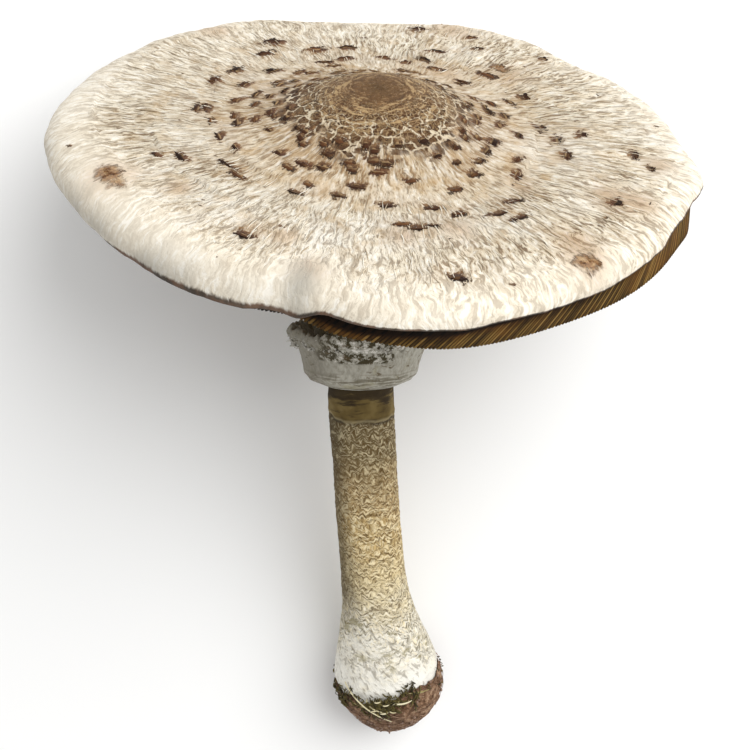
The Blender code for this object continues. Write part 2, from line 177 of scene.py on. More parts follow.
def offset(bearing, centre):
    """Degrees from the centre's bearing, -180 to 180."""
    return (bearing - centre + 180.0) % 360.0 - 180.0


def bump(bearing, centre, half_width):
    """A smooth hill in the bearing: exp(-(offset / half_width)^2)."""
    return np.exp(-(offset(bearing, centre) / half_width) ** 2)


def wheel(bearing, radius, level):
    """Points (radius cos, radius sin, level) at the bearings."""
    angle = np.radians(bearing)
    return np.stack([radius * np.cos(angle), radius * np.sin(angle), level + 0 * angle], axis=-1)


def round_grid(levels, columns):
    """Levels down the rows and bearings along the columns, as two full arrays."""
    return np.meshgrid(levels, np.arange(columns) * 360.0 / columns, indexing="ij")


def turn_about(axis, degrees):
    """Rotation matrix about axis 0, 1 or 2."""
    one, two = (axis + 1) % 3, (axis + 2) % 3
    matrix = np.eye(3)
    matrix[one, one] = matrix[two, two] = math.cos(math.radians(degrees))
    matrix[two, one] = math.sin(math.radians(degrees))
    matrix[one, two] = -matrix[two, one]
    return matrix


LAY_AXES = turn_about(0, REST_PITCH) @ turn_about(2, REST_SPIN)
CAP_AXES = (turn_about(0, CAP_LEAN_FRONT) @ turn_about(1, CAP_LEAN_RIGHT)).T
CAP_UP = CAP_AXES[2]


def lay_down(points):
    """Standing millimetres to lying metres, kept off the floor."""
    laid = np.asarray(points) @ LAY_AXES.T + REST_PLACE
    laid[..., 2] = np.maximum(laid[..., 2], FLOOR_GAP)
    return laid * MM


def make_mesh(name, points, faces, fields, finish):
    """A piece from standing points and faces, with its fields as attributes, riding on the body."""
    mesh = bpy.data.meshes.new(name)
    mesh.from_pydata(lay_down(points).tolist(), [], faces)
    for title, values in fields.items():
        kind, key = ("FLOAT_VECTOR", "vector") if values.ndim == 2 else ("FLOAT", "value")
        layer = mesh.attributes.new(title, kind, "POINT")
        layer.data.foreach_set(key, values.astype(np.float32).ravel())
    mesh.shade_smooth()
    mesh.materials.append(finish)
    piece = bpy.data.objects.new(name, mesh)
    bpy.context.collection.objects.link(piece)
    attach(piece, "root")
    return piece


def outward(points, quads):
    """The quads, turned over if the volume they enclose counts as negative."""
    first, second, third, fourth = (points[quads[:, k]] for k in range(4))
    volume = np.einsum("ij,ij->i", first, np.cross(second, third) + np.cross(third, fourth)).sum()
    return quads if volume > 0 else quads[:, ::-1]


def lathe(name, grid, fields, finish, loop=False):
    """A closed piece from a grid (rows, columns, 3) round an axis, capped at both ends or looped."""
    rows, columns = grid.shape[:2]
    total = rows * columns
    points = grid.reshape(total, 3)
    fields = {title: values.reshape(total, *values.shape[2:]) for title, values in fields.items()}
    index = np.arange(total).reshape(rows, columns)
    if loop:
        index = np.vstack([index, index[:1]])
    after = np.roll(index, -1, axis=1)
    quads = np.stack([index[:-1], after[:-1], after[1:], index[1:]], axis=-1).reshape(-1, 4)
    faced = outward(points, quads)
    if loop:
        return make_mesh(name, points, faced.tolist(), fields, finish)
    low = np.stack([after[0], index[0], np.full(columns, total)], axis=-1)
    high = np.stack([index[-1], after[-1], np.full(columns, total + 1)], axis=-1)
    if faced[0, 0] != quads[0, 0]:
        low, high = low[:, ::-1], high[:, ::-1]
    points = np.concatenate([points, grid[:1].mean(axis=1), grid[-1:].mean(axis=1)])
    fields = {title: np.concatenate([values, values[:1], values[-1:]]) for title, values in fields.items()}
    faces = faced.tolist() + low.tolist() + high.tolist()
    return make_mesh(name, points, faces, fields, finish)


def shell_faces(number, rings, sides, flip=False):
    """Faces of closed shells, each a pole, rings of that many sides, and another pole."""
    fan = np.arange(sides)
    after = (fan + 1) % sides
    per = rings * sides + 2
    last = per - 1 - sides
    triangles = np.concatenate([np.stack([0 * fan, 1 + fan, 1 + after], -1),
                                np.stack([0 * fan + per - 1, last + after, last + fan], -1)])
    starts = 1 + sides * np.arange(rings)
    quads = np.concatenate([np.stack([a + fan, b + fan, b + after, a + after], -1)
                            for a, b in zip(starts, starts[1:])])
    if flip:
        triangles, quads = triangles[:, [0, 2, 1]], quads[:, [0, 3, 2, 1]]
    first = np.arange(number)[:, None, None] * per
    return (triangles + first).reshape(-1, 3).tolist() + (quads + first).reshape(-1, 4).tolist()


def strands(name, paths, radii, tone, finish, slot, sides=4, flat=1.0):
    """Tapered strands: each path (strands, steps, 3) swept by a small polygon, closed at both ends."""
    number, steps = radii.shape
    tangent = np.gradient(paths, axis=1)
    tangent /= np.maximum(np.linalg.norm(tangent, axis=-1, keepdims=True), 1e-9)
    side = np.cross(tangent, np.array([0.21, -0.93, 0.30]))
    side /= np.maximum(np.linalg.norm(side, axis=-1, keepdims=True), 1e-9)
    up = np.cross(side, tangent)
    turn = (2 * math.pi * np.arange(sides) / sides)[:, None]
    ring = side[:, :, None] * np.cos(turn) + flat * up[:, :, None] * np.sin(turn)
    points = paths[:, :, None] + ring * radii[:, :, None, None]
    index = np.arange(steps * sides).reshape(steps, sides)
    after = np.roll(index, -1, axis=1)
    quads = np.stack([index[:-1], index[1:], after[1:], after[:-1]], -1).reshape(-1, 4)
    ends = np.stack([index[0], index[-1, ::-1]])
    first = np.arange(number)[:, None, None] * steps * sides
    faces = (quads + first).reshape(-1, 4).tolist() + (ends + first).reshape(-1, sides).tolist()
    fields = {"tone": np.repeat(tone, steps * sides)}
    return make_mesh(name, points.reshape(-1, 3), faces, fields, finish)


# ---------------------------------------------------------------- the frame's shapes
def by_thickness(bearing, values):
    """values[0] at the thick left of the margin, values[1] elsewhere."""
    return blend(values, bump(bearing, THICK_BEARING, THICK_SPREAD))


def by_tuck(bearing, values):
    """values[0] where the margin is tucked under, values[1] elsewhere."""
    away = np.abs(offset(bearing, TUCK_BEARING))
    return blend(values, 0.5 - 0.5 * np.tanh((away - TUCK_HALF) / TUCK_SOFT))


def margin(bearing):
    """Radius and rise of the margin: a circle with lobes, cut by a softened chord at the far side."""
    radius = CAP_RADIUS + 0.0 * bearing
    rise = 0.0 * bearing
    for centre, half_width, outwards, upwards in LOBES:
        hill = bump(bearing, centre, half_width)
        radius = radius + outwards * hill
        rise = rise + upwards * hill
    turn = np.radians(offset(bearing, FLAT_BEARING))
    near = np.clip(turn, -FLAT_HALF_TURN, FLAT_HALF_TURN)
    bulge = FLAT_BULGE * np.cos(np.clip(3.0 * near, -math.pi / 2, math.pi / 2)) ** 2
    chord = (FLAT_DISTANCE + bulge) / np.cos(near)
    chord = np.where(np.abs(turn) < FLAT_HALF_TURN, chord, 10 * CAP_RADIUS)
    share = np.clip(0.5 + 0.5 * (chord - radius) / CORNER, 0.0, 1.0)
    return chord * (1 - share) + radius * share - CORNER * share * (1 - share), rise


def roll_start(bearing):
    """Radius where the cap's top turns down into its rolled margin."""
    return margin(bearing)[0] - by_thickness(bearing, ROLL_WIDTH)


def dome(bearing, r):
    """(1 - x^2)^2 for x from the middle to the roll's start, 1 - x, and the margin's lift there."""
    radius, rise = margin(bearing)
    x = np.clip(r / roll_start(bearing), 0.0, 1.0)
    share = r / radius
    lift = (by_thickness(bearing, ROLL_HEIGHT) - MIDDLE_HEIGHT) * share ** 2 + rise * share ** 4
    return (1 - x * x) ** 2, 1 - x, lift


def top_height(bearing, r):
    """Height of the cap's top: dome, umbo exp(-(distance/width)^3), and a Gaussian dip round it."""
    high, _, lift = dome(bearing, r)
    distance = np.sqrt(r * r + UMBO_ASIDE ** 2 - 2 * r * UMBO_ASIDE * np.cos(np.radians(bearing)))
    umbo = UMBO * np.exp(-(distance / UMBO_WIDTH) ** 3)
    dip = DIP * np.exp(-((r - DIP_RADIUS) / DIP_WIDTH) ** 2)
    return MIDDLE_HEIGHT + CROWN * high + umbo - dip + lift


def flesh_height(bearing, r):
    """Height of the flesh's underside: a flatter dome below the top."""
    high, inner, lift = dome(bearing, r)
    return MIDDLE_HEIGHT - SKIN - (FLESH - SKIN) * inner + FLESH_CROWN * high + lift


def roll(bearing, degrees, inset):
    """Point (r, z) of the rolled margin after a turn: an ellipse arc, moved inwards by inset."""
    radius, rise = margin(bearing)
    width, height = by_thickness(bearing, ROLL_WIDTH), by_thickness(bearing, ROLL_HEIGHT)
    turn = np.radians(degrees)
    r = radius - width + (width - inset) * np.sin(turn)
    return r, (height - inset) * np.cos(turn) + rise * (r / radius) ** 4


def frame_turn(bearing):
    """Degrees the frame's cap turns through at the margin, and the opening at its front right."""
    opening = bump(bearing, OPEN_BEARING, OPEN_SPREAD)
    return by_tuck(bearing, ROLL_TURN) - OPEN_TURN * opening, opening


def edge_turn(bearing):
    """Degrees the skin turns through before it ends, with the small waves of its edge."""
    turn = frame_turn(bearing)[0]
    for centre, half_width, more in EDGE_WAVES:
        turn = turn + more * bump(bearing, centre, half_width)
    return turn + 3.0 * rough(wheel(bearing, 30.0, 0.0), 4.0, 41, 3)


def gill_corner(bearing):
    """The blades' lower outer corner (r, z): set back from the skin's edge, and below it."""
    turn, opening = frame_turn(bearing)
    edge_r, edge_z = roll(bearing, turn, 0.0)
    depth = by_tuck(bearing, GILL_DEPTH)
    for centre, half_width, lost in GILL_SHALLOWS:
        depth = depth * (1 - lost * bump(bearing, centre, half_width))
    return edge_r - (by_tuck(bearing, GILL_SETBACK) - OPEN_SETBACK * opening), edge_z - depth


def from_cap(bearing, r, z):
    """Polar coordinates of the cap to points of the standing frame."""
    return wheel(bearing, r, z) @ CAP_AXES + CAP_MIDDLE


def roll_scale(bearing):
    """Millimetres of skin for each degree of the roll's turn: its mean radius."""
    return np.radians(0.5 * (by_thickness(bearing, ROLL_WIDTH) + by_thickness(bearing, ROLL_HEIGHT)))


def bare_skin(bearing, walk):
    """Point of the smooth skin after a walk from the umbo: over the top, then round the roll."""
    start = roll_start(bearing)
    r = np.minimum(walk, start)
    top = from_cap(bearing, r, top_height(bearing, r))
    degrees = np.maximum(walk - start, 0.0) / roll_scale(bearing)
    side = from_cap(bearing, *roll(bearing, degrees, 0.0))
    return np.where((walk <= start)[..., None], top, side)


def skin_relief(bearing, walk, point):
    """Swell of the skin: three sizes of waves, low radial folds, and the crease at the front left."""
    swell = sum(height * grain(point, size, seed) for seed, (size, height) in enumerate(SKIN_SWELL, 3))
    spokes = wheel(bearing, 26.0, walk / 26.0)
    folds = 0.22 * grain(spokes, 1.0, 12) + 0.12 * grain(spokes * 2.3, 1.0, 13)
    crease = CREASE_DEPTH * bump(bearing, CREASE_BEARING + 0.6 * grain(point, 9.0, 14), CREASE_WIDTH)
    return (swell + folds) * fade(walk, 6.0, 40.0) - crease * fade(walk, CREASE_FROM, CREASE_FROM + 20.0)


def on_skin(bearing, walk, height):
    """Point at a height over the finished skin, along its normal, found by small steps."""
    bearing, walk = np.broadcast_arrays(np.asarray(bearing, float), np.asarray(walk, float))
    step = 0.4
    safe = np.maximum(walk, 1.5 * step)
    turn = np.degrees(step / safe)
    across = bare_skin(bearing + turn, safe) - bare_skin(bearing - turn, safe)
    along = bare_skin(bearing, safe + step) - bare_skin(bearing, safe - step)
    normal = np.cross(across, along)
    normal = normal / np.linalg.norm(normal, axis=-1, keepdims=True)
    normal = np.where((normal @ CAP_UP < -0.999)[..., None], CAP_UP, normal)
    point = bare_skin(bearing, walk)
    return point + normal * (skin_relief(bearing, walk, point) + height)[..., None]


# where the neck starts, where the stem meets the underside of the cap, and the length between
NECK_START = np.array([0.0, 0.0, NECK_HEIGHT])
NECK_END = CAP_MIDDLE + (float(flesh_height(np.zeros(1), np.zeros(1))[0]) - GAP) * CAP_UP
NECK_LENGTH = float(np.linalg.norm(NECK_END - NECK_START))


def stem_frame(height):
    """Centres of the stem at heights, and the directions across, to the back, and along it."""
    height = np.asarray(height, float)
    upright = np.array([0.0, 0.0, 1.0])
    t = np.clip((height - NECK_HEIGHT) / NECK_LENGTH, 0.0, 1.0)[..., None]
    centre = ((2 * t ** 3 - 3 * t ** 2 + 1) * NECK_START + (t ** 3 - 2 * t ** 2 + t) * upright * NECK_LENGTH
              + (3 * t ** 2 - 2 * t ** 3) * NECK_END + (t ** 3 - t ** 2) * CAP_UP * NECK_LENGTH)
    below = np.minimum(height - NECK_HEIGHT, 0.0)
    aside = BEND * np.exp(-((height - BEND_HEIGHT) / BEND_SPREAD) ** 2) - LEAN * below
    aside = np.where(height <= NECK_HEIGHT, aside, 0.0)
    centre = centre + np.stack([aside, 0 * aside, below], axis=-1)
    axis = (1 - t ** 2) * upright + t ** 2 * CAP_UP
    axis = axis / np.linalg.norm(axis, axis=-1, keepdims=True)
    across = np.array([1.0, 0, 0]) - axis[..., :1] * axis
    across = across / np.linalg.norm(across, axis=-1, keepdims=True)
    return centre, across, np.cross(axis, across), axis


def body_radius(height):
    """Radius of stem and soil together: shaft, a Gaussian bulb, and a round end below it."""
    height = np.asarray(height, float)
    radius = SHAFT + BULB * np.exp(-((height - BULB_HEIGHT) / BULB_SPREAD) ** 2)
    low = np.clip((BULB_HEIGHT - height) / BULB_HEIGHT, 0.0, 1.0)
    above = np.maximum(0.0, (height - NECK_HEIGHT) / NECK_LENGTH)
    return radius * np.sqrt(1 - low ** 2) + (STEM_TOP_RADIUS - SHAFT) * above


def soil_edge(bearing):
    """Height of the soil's upper edge in the frame."""
    angle = np.radians(bearing)
    return SOIL_HEIGHT + SOIL_RIGHT * np.cos(angle) + SOIL_BACK * np.sin(angle)


def soil_depth(bearing, height):
    """Thickness of the soil, tapering to its upper edge."""
    return SOIL * np.clip(SOIL_EDGE + (soil_edge(bearing) - height) / SOIL_TAPER, 0.0, 1.0)


def around_stem(bearing, height, reach, slide=0.0):
    """Points at a reach from the stem's centre line, moved along the stem by slide."""
    centre, across, front_back, axis = stem_frame(height)
    angle = np.radians(bearing)[..., None]
    outwards = across * np.cos(angle) + front_back * np.sin(angle)
    along = 0.0 * angle + np.asarray(slide)[..., None]
    return centre + outwards * np.asarray(reach)[..., None] + axis * along


# ---------------------------------------------------------------- finishes
def shade(code):
    """A colour written as six hexadecimal digits, as linear red, green, blue and alpha."""
    parts = [int(code[k:k + 2], 16) / 255 for k in (0, 2, 4)]
    return tuple(p / 12.92 if p <= 0.04045 else ((p + 0.055) / 1.055) ** 2.4 for p in parts) + (1.0,)


class Recipe:
    """Builds one material's nodes: each call adds a node and gives back its output socket."""

    def __init__(self, name):
        self.material = bpy.data.materials.new(name)
        self.material.use_nodes = True
        self.tree = self.material.node_tree

    def feed(self, node, inputs):
        """Links or sets the inputs of a node; a colour may be a code."""
        for key, value in inputs.items():
            if isinstance(value, bpy.types.NodeSocket):
                self.tree.links.new(value, node.inputs[key])
            else:
                node.inputs[key].default_value = shade(value) if isinstance(value, str) else value

    def add(self, kind, inputs, output=0, **settings):
        """A node with its settings and inputs, and one output given back."""
        node = self.tree.nodes.new("ShaderNode" + kind)
        for title, value in settings.items():
            setattr(node, title, value)
        self.feed(node, inputs)
        return node.outputs[output]

    def place(self):
        """Object coordinates, in metres."""
        return self.add("TexCoord", {}, "Object")

    def field(self, name, output="Vector"):
        """A vector field of the mesh."""
        return self.add("Attribute", {}, output, attribute_name=name)

    def value(self, name):
        """A number field of the mesh."""
        return self.field(name, "Fac")

    def part(self, vector, axis):
        """One component of a vector."""
        return self.add("SeparateXYZ", {0: vector}, axis)

    def stretch(self, vector, by):
        """The vector times (x, y, z)."""
        return self.add("VectorMath", {0: vector, 1: by}, operation="MULTIPLY")

    def noise(self, vector, scale, detail=3.0, coarse=0.55, warp=0.0, output="Fac"):
        """Fractal noise around 0.5."""
        return self.add("TexNoise", {"Vector": vector, "Scale": scale, "Detail": detail,
                                     "Roughness": coarse, "Distortion": warp}, output)

    def stir(self, vector, scale, amount, seed=0.0):
        """The vector moved by up to amount by a noise of Object coordinates of that scale."""
        moved = self.add("Mapping", {0: self.place(), 1: (seed, seed, seed)})
        cloud = self.noise(moved, scale, 2.0, 0.5, output="Color")
        centred = self.add("VectorMath", {0: cloud, 1: (0.5, 0.5, 0.5)}, operation="SUBTRACT")
        return self.add("VectorMath", {0: centred, 1: (2 * amount,) * 3, 2: vector}, operation="MULTIPLY_ADD")

    def weave(self, vector, across, along, detail=3.0, coarse=0.55, warp=0.0):
        """Fractal noise of a field, so many times finer across it and along it."""
        return self.noise(self.stretch(vector, (across, across, along)), 1.0, detail, coarse, warp)

    def cells(self, vector, scale, feature="DISTANCE_TO_EDGE", output="Distance"):
        """Voronoi cells: distance to the nearest edge, or another feature."""
        return self.add("TexVoronoi", {"Vector": vector, "Scale": scale}, output, feature=feature)

    def sum(self, *values, operation="ADD"):
        """Numbers joined by an operation, from the first to the last."""
        total = values[0]
        for value in values[1:]:
            total = self.add("Math", {0: total, 1: value}, operation=operation)
        return total

    def times(self, *values):
        """Numbers multiplied together."""
        return self.sum(*values, operation="MULTIPLY")

    def line(self, value, low, high, bottom=0.0, top=1.0, curve="LINEAR"):
        """The value mapped in proportion, and held at its ends."""
        return self.add("MapRange", {0: value, 1: low, 2: high, 3: bottom, 4: top}, interpolation_type=curve)

    def step(self, value, low, high, bottom=0.0, top=1.0):
        """Smooth step of the value from bottom to top between low and high."""
        return self.line(value, low, high, bottom, top, "SMOOTHSTEP")

    def between(self, value, rise, risen, fall, fallen):
        """1 where the value has passed the first pair and not the second, with smooth steps."""
        return self.times(self.step(value, rise, risen), self.step(value, fallen, fall))

    def sway(self, noise, amount):
        """Noise turned into a shift of up to the amount either way."""
        return self.line(noise, 0.3, 0.7, -amount, amount)

    def ramp(self, value, *stops):
        """A colour picked along stops of (position, colour code)."""
        node = self.tree.nodes.new("ShaderNodeValToRGB")
        self.feed(node, {0: value})
        marks = node.color_ramp.elements
        while len(marks) < len(stops):
            marks.new(0.5)
        for mark, (position, code) in zip(marks, stops):
            mark.position = position
            mark.color = shade(code)
        return node.outputs[0]

    def mix(self, share, under, over):
        """Two colours mixed by a share."""
        return self.add("Mix", {0: share, 6: under, 7: over}, 2, data_type="RGBA")

    def coats(self, colour, *coats):
        """The colour with coats laid over it in turn: each a colour and the shares that thin it."""
        for over, *shares in coats:
            colour = self.mix(self.times(*shares), colour, over)
        return colour

    def surface(self, colour, roughness, reliefs, specular=0.3, sheen=0.0):
        """Ends the recipe: reliefs are pairs of a height and its depth in millimetres, laid in turn."""
        shader = self.tree.nodes["Principled BSDF"]
        before = {}
        for height, depth in reliefs:
            inputs = {"Height": height, "Distance": depth * MM, "Strength": 1.0, **before}
            before = {"Normal": self.add("Bump", inputs)}
        self.feed(shader, before)
        self.feed(shader, {"Base Color": colour, "Roughness": roughness,
                           "Specular IOR Level": specular, "Sheen Weight": sheen})
        return self.material


def cap_skin_finish():
    """Cream woolly skin with radial fibres, darker round the scales, a cracked brown umbo, and painted light
    and shade: grey on the left roll and in the front crease, paler on the back left, a near-black rim.
    """
    mix = Recipe("cap skin")
    spokes, rows, place = mix.field("spokes"), mix.field("rows"), mix.place()
    walk, rolled = mix.part(spokes, 2), mix.value("rolled")
    large, medium = mix.noise(place, 38.0), mix.noise(place, 130.0)
    grit = mix.noise(place, 760.0, 3.0, 0.6)
    wavy = mix.stir(spokes, 110.0, 0.040)
    inner, outer = mix.weave(wavy, 34.0, 0.24, 4.0, 0.62), mix.weave(wavy, 74.0, 0.16, 4.0, 0.62)
    fibre = mix.add("Mix", {0: mix.step(walk, 34.0, 60.0), 2: inner, 3: outer}, data_type="FLOAT")
    bundle = mix.weave(mix.stir(spokes, 60.0, 0.08, 3.0), 21.0, 0.10)
    quiet = mix.times(mix.line(rolled, 0.0, 1.0, 1.0, 0.16), mix.step(large, 0.62, 0.38, 0.60, 1.0))
    far = mix.sum(walk, mix.sway(medium, 7.0))
    smudge = mix.times(mix.value("smudge"), mix.step(fibre, 0.60, 0.40, 0.35, 1.0))
    colour = mix.coats(
        mix.ramp(large, (0.30, "D2C4AA"), (0.50, "E3D7C0"), (0.72, "EEE6D6")),
        # paler on the rolled margin, and painted light on the back left of the top
        ("EEE5D4", rolled, 0.75),
        ("6F573E", mix.step(fibre, 0.50, 0.59), quiet, 0.90),
        ("FCF8EE", mix.step(fibre, 0.49, 0.37), 0.72),
        # darker tan along the fibre bundles: partly the fibres' own tone, partly painted shade
        ("A68F70", mix.step(bundle, 0.48, 0.66), quiet, 0.42),
        ("C2A274", mix.step(medium, 0.50, 0.66), mix.step(walk, 95.0, 50.0), 0.48),
        ("B48A5C", mix.line(smudge, 0.0, 1.0), 0.55),
        ("AE8F66", mix.step(far, 66.0, 22.0), mix.step(fibre, 0.36, 0.52, 0.55, 1.0), 0.46),
        ("9E7C55", mix.value("stain"), mix.step(fibre, 0.35, 0.62, 0.45, 1.0), 0.40))

    broken = mix.stir(rows, 260.0, 0.50)
    crack = mix.cells(mix.stretch(broken, (1.0, 1.0, 1.15)), 1.0)
    second = mix.cells(mix.stretch(mix.stir(rows, 420.0, 0.5, 5.0), (2.1, 2.1, 2.3)), 1.0)
    limit = mix.sum(mix.line(walk, 9.0, 30.0, -0.08, 0.05), mix.line(grit, 0.3, 0.7, -0.06, 0.10))
    island = mix.step(mix.sum(crack, limit, operation="SUBTRACT"), 0.0, 0.07)
    island = mix.times(island, mix.step(far, 33.0, 24.0))
    tone = mix.part(mix.cells(broken, 1.0, "F1", "Color"), 0)
    ripple = mix.weave(mix.stir(spokes, 160.0, 0.16, 7.0), 2.6, 0.85, 3.0, 0.65)
    wrinkled = mix.between(walk, 4.0, 11.0, 17.0, 27.0)
    net = mix.step(mix.sum(second, mix.sway(grit, 0.05)), 0.10, 0.02)
    bark = mix.coats(
        mix.ramp(mix.line(walk, 2.0, 32.0), (0.0, "664B2A"), (0.30, "583C22"), (0.52, "472D1A"),
                 (0.78, "382114"), (1.0, "331D11")),
        ("7C5A3A", mix.line(tone, 0.0, 1.0, 0.0, 0.40)),
        ("9A7850", mix.step(grit, 0.46, 0.66, 0.0, 0.40)),
        ("C0A276", mix.step(ripple, 0.53, 0.60), wrinkled, 0.70),
        ("3E2A1B", mix.step(ripple, 0.47, 0.40), wrinkled, 0.60),
        ("C9AD80", net, mix.between(walk, 7.0, 14.0, 20.0, 28.0), 0.45))
    pale = mix.mix(mix.step(walk, 10.0, 24.0), "BFA37A", "E2D4B8")

    streak = mix.weave(mix.stir(spokes, 200.0, 0.03, 4.0), 64.0, 0.55, 3.0, 0.6)
    clump = mix.noise(place, 520.0, 3.0, 0.6)
    shape = mix.sum(mix.value("mark"), mix.sway(streak, 0.50), mix.sway(clump, 0.45))
    core = mix.step(shape, 0.26, 0.44)
    # the marks darken towards their outer edge: the scales' own brown, and painted shade where the lifted
    # edge shades the skin
    outwards = mix.sum(mix.line(mix.value("slope"), -1.0, 1.0), mix.sway(grit, 0.22))
    scale = mix.coats(
        mix.ramp(outwards, (0.02, "8F6D49"), (0.28, "5E3E27"), (0.55, "3B2216"), (0.90, "21120B")),
        ("6E4128", mix.step(mix.value("age"), 0.50, 1.0, 0.0, 0.45)),
        ("A88C66", mix.step(streak, 0.55, 0.68, 0.0, 0.35)))
    patch = mix.sum(mix.value("patch"), mix.sway(medium, 0.42), mix.sway(fibre, 0.22))
    torn = mix.step(patch, 0.16, 0.62)
    wound = mix.ramp(mix.noise(place, 420.0, 4.0, 0.7), (0.34, "5E3B20"), (0.46, "8A6039"),
                     (0.56, "AE875C"), (0.68, "CDB28A"))
    # dark rim at the skin's edge: a thin brown edge, widened at the left into a near-black line of painted
    # shade for the shaded gills under it
    rim = mix.step(mix.sum(mix.value("edge"), mix.sway(fibre, 0.16)), 0.15, 0.60)
    colour = mix.coats(
        colour,
        (pale, mix.step(far, 30.0, 18.0), 0.72),
        (bark, island),
        ("8F6E4A", mix.step(shape, -0.15, 0.50), 0.38),
        (scale, core, 0.94),
        (wound, torn, 0.80),
        # painted shade: grey on the lower left of the rolled margin and down the crease at the front left
        ("9C988E", mix.value("painted_shade"), mix.step(large, 0.36, 0.58, 0.45, 0.90)),
        (mix.mix(mix.step(medium, 0.42, 0.60), "2B1D13", "5E4230"), rim, 0.92),
        (mix.mix(large, "D8C6A2", "C3A67A"), mix.value("under")))
    strong = mix.times(mix.step(walk, 8.0, 40.0, 0.25, 1.0), mix.line(rolled, 0.0, 1.0, 1.0, 0.12))
    reliefs = ((mix.times(bundle, strong), 1.1), (mix.times(fibre, strong), 1.6), (island, 0.35),
               (mix.sum(mix.times(core, outwards), mix.times(grit, 0.5)), 0.45),
               (mix.times(grit, torn), 0.9))
    return mix.surface(colour, mix.line(fibre, 0.3, 0.7, 0.68, 0.86), reliefs, 0.12, 0.03)


def scale_finish():
    """Torn bark-like flakes: red-brown, near-black at the free edge, partly painted shade under its curl,
    paler where they join the skin.
    """
    mix = Recipe("scale bark")
    free, speck = mix.value("free"), mix.noise(mix.place(), 700.0, 4.0, 0.65)
    streak = mix.weave(mix.field("spokes"), 60.0, 0.5)
    colour = mix.coats(
        mix.ramp(mix.value("tone"), (0.0, "20130D"), (0.35, "362015"), (0.7, "4A2D1C"), (1.0, "66432A")),
        ("7E5C3A", mix.step(speck, 0.48, 0.64, 0.0, 0.40)),
        ("A98C66", mix.step(mix.sum(free, mix.sway(streak, 0.35)), 0.40, 0.02), 0.75),
        # near-black at the free edge: the flake's dark brown, and painted shade under the curl
        ("241712", mix.step(mix.sum(free, mix.sway(speck, 0.20)), 0.62, 0.95), 0.75))
    return mix.surface(colour, mix.line(speck, 0.3, 0.7, 0.70, 0.90), ((mix.sum(speck, streak), 0.35),), 0.12)


def fibre_finish():
    """Loose fibres of the cap: cream to tan."""
    mix = Recipe("cap fibres")
    cloud = mix.noise(mix.place(), 300.0, 2.0)
    colour = mix.ramp(mix.value("tone"), (0.0, "A8957A"), (0.4, "D9CBB2"), (1.0, "F4EEE0"))
    colour = mix.coats(colour, ("BBA588", mix.step(cloud, 0.5, 0.7, 0.0, 0.4)))
    return mix.surface(colour, 0.9, ((cloud, 0.2),), 0.2, 0.1)


def gill_finish():
    """Blades: near-black at the root under the skin and in the valleys between blades, which is painted
    shade, ochre-brown lower down, paler near the stem.
    """
    mix = Recipe("gill blades")
    place, low, tone = mix.place(), mix.value("low"), mix.value("tone")
    cloud, fine, below = mix.noise(place, 70.0), mix.noise(place, 600.0), mix.step(low, 0.35, 0.60)
    inner = mix.times(mix.step(mix.value("reach"), 0.80, 0.15), mix.step(low, 0.1, 0.8, 0.35, 1.0))
    # painted shade: near-black where the blades run up under the skin's edge, and in the valleys between the
    # blades
    colour = mix.coats(
        mix.ramp(low, (0.0, "080504"), (0.24, "0E0906"), (0.36, "2E1B0B"), (0.54, "4A3416"),
                 (0.80, "624A20"), (1.0, "7C6030")),
        ("22150A", mix.step(tone, 0.48, 0.62, 0.0, 0.70)),
        ("A8864C", mix.step(tone, 0.36, 0.0, 0.0, 0.50), below),
        ("1A1009", mix.step(mix.value("valley_shade"), 0.25, 0.70, 0.0, 0.85)),
        ("7B4F1E", mix.step(cloud, 0.45, 0.68, 0.0, 0.35), below),
        ("C2A06A", inner, 0.55),
        ("5C3D1B", mix.step(fine, 0.52, 0.72, 0.0, 0.4), below))
    return mix.surface(colour, 0.85, ((fine, 0.25),), 0.12)


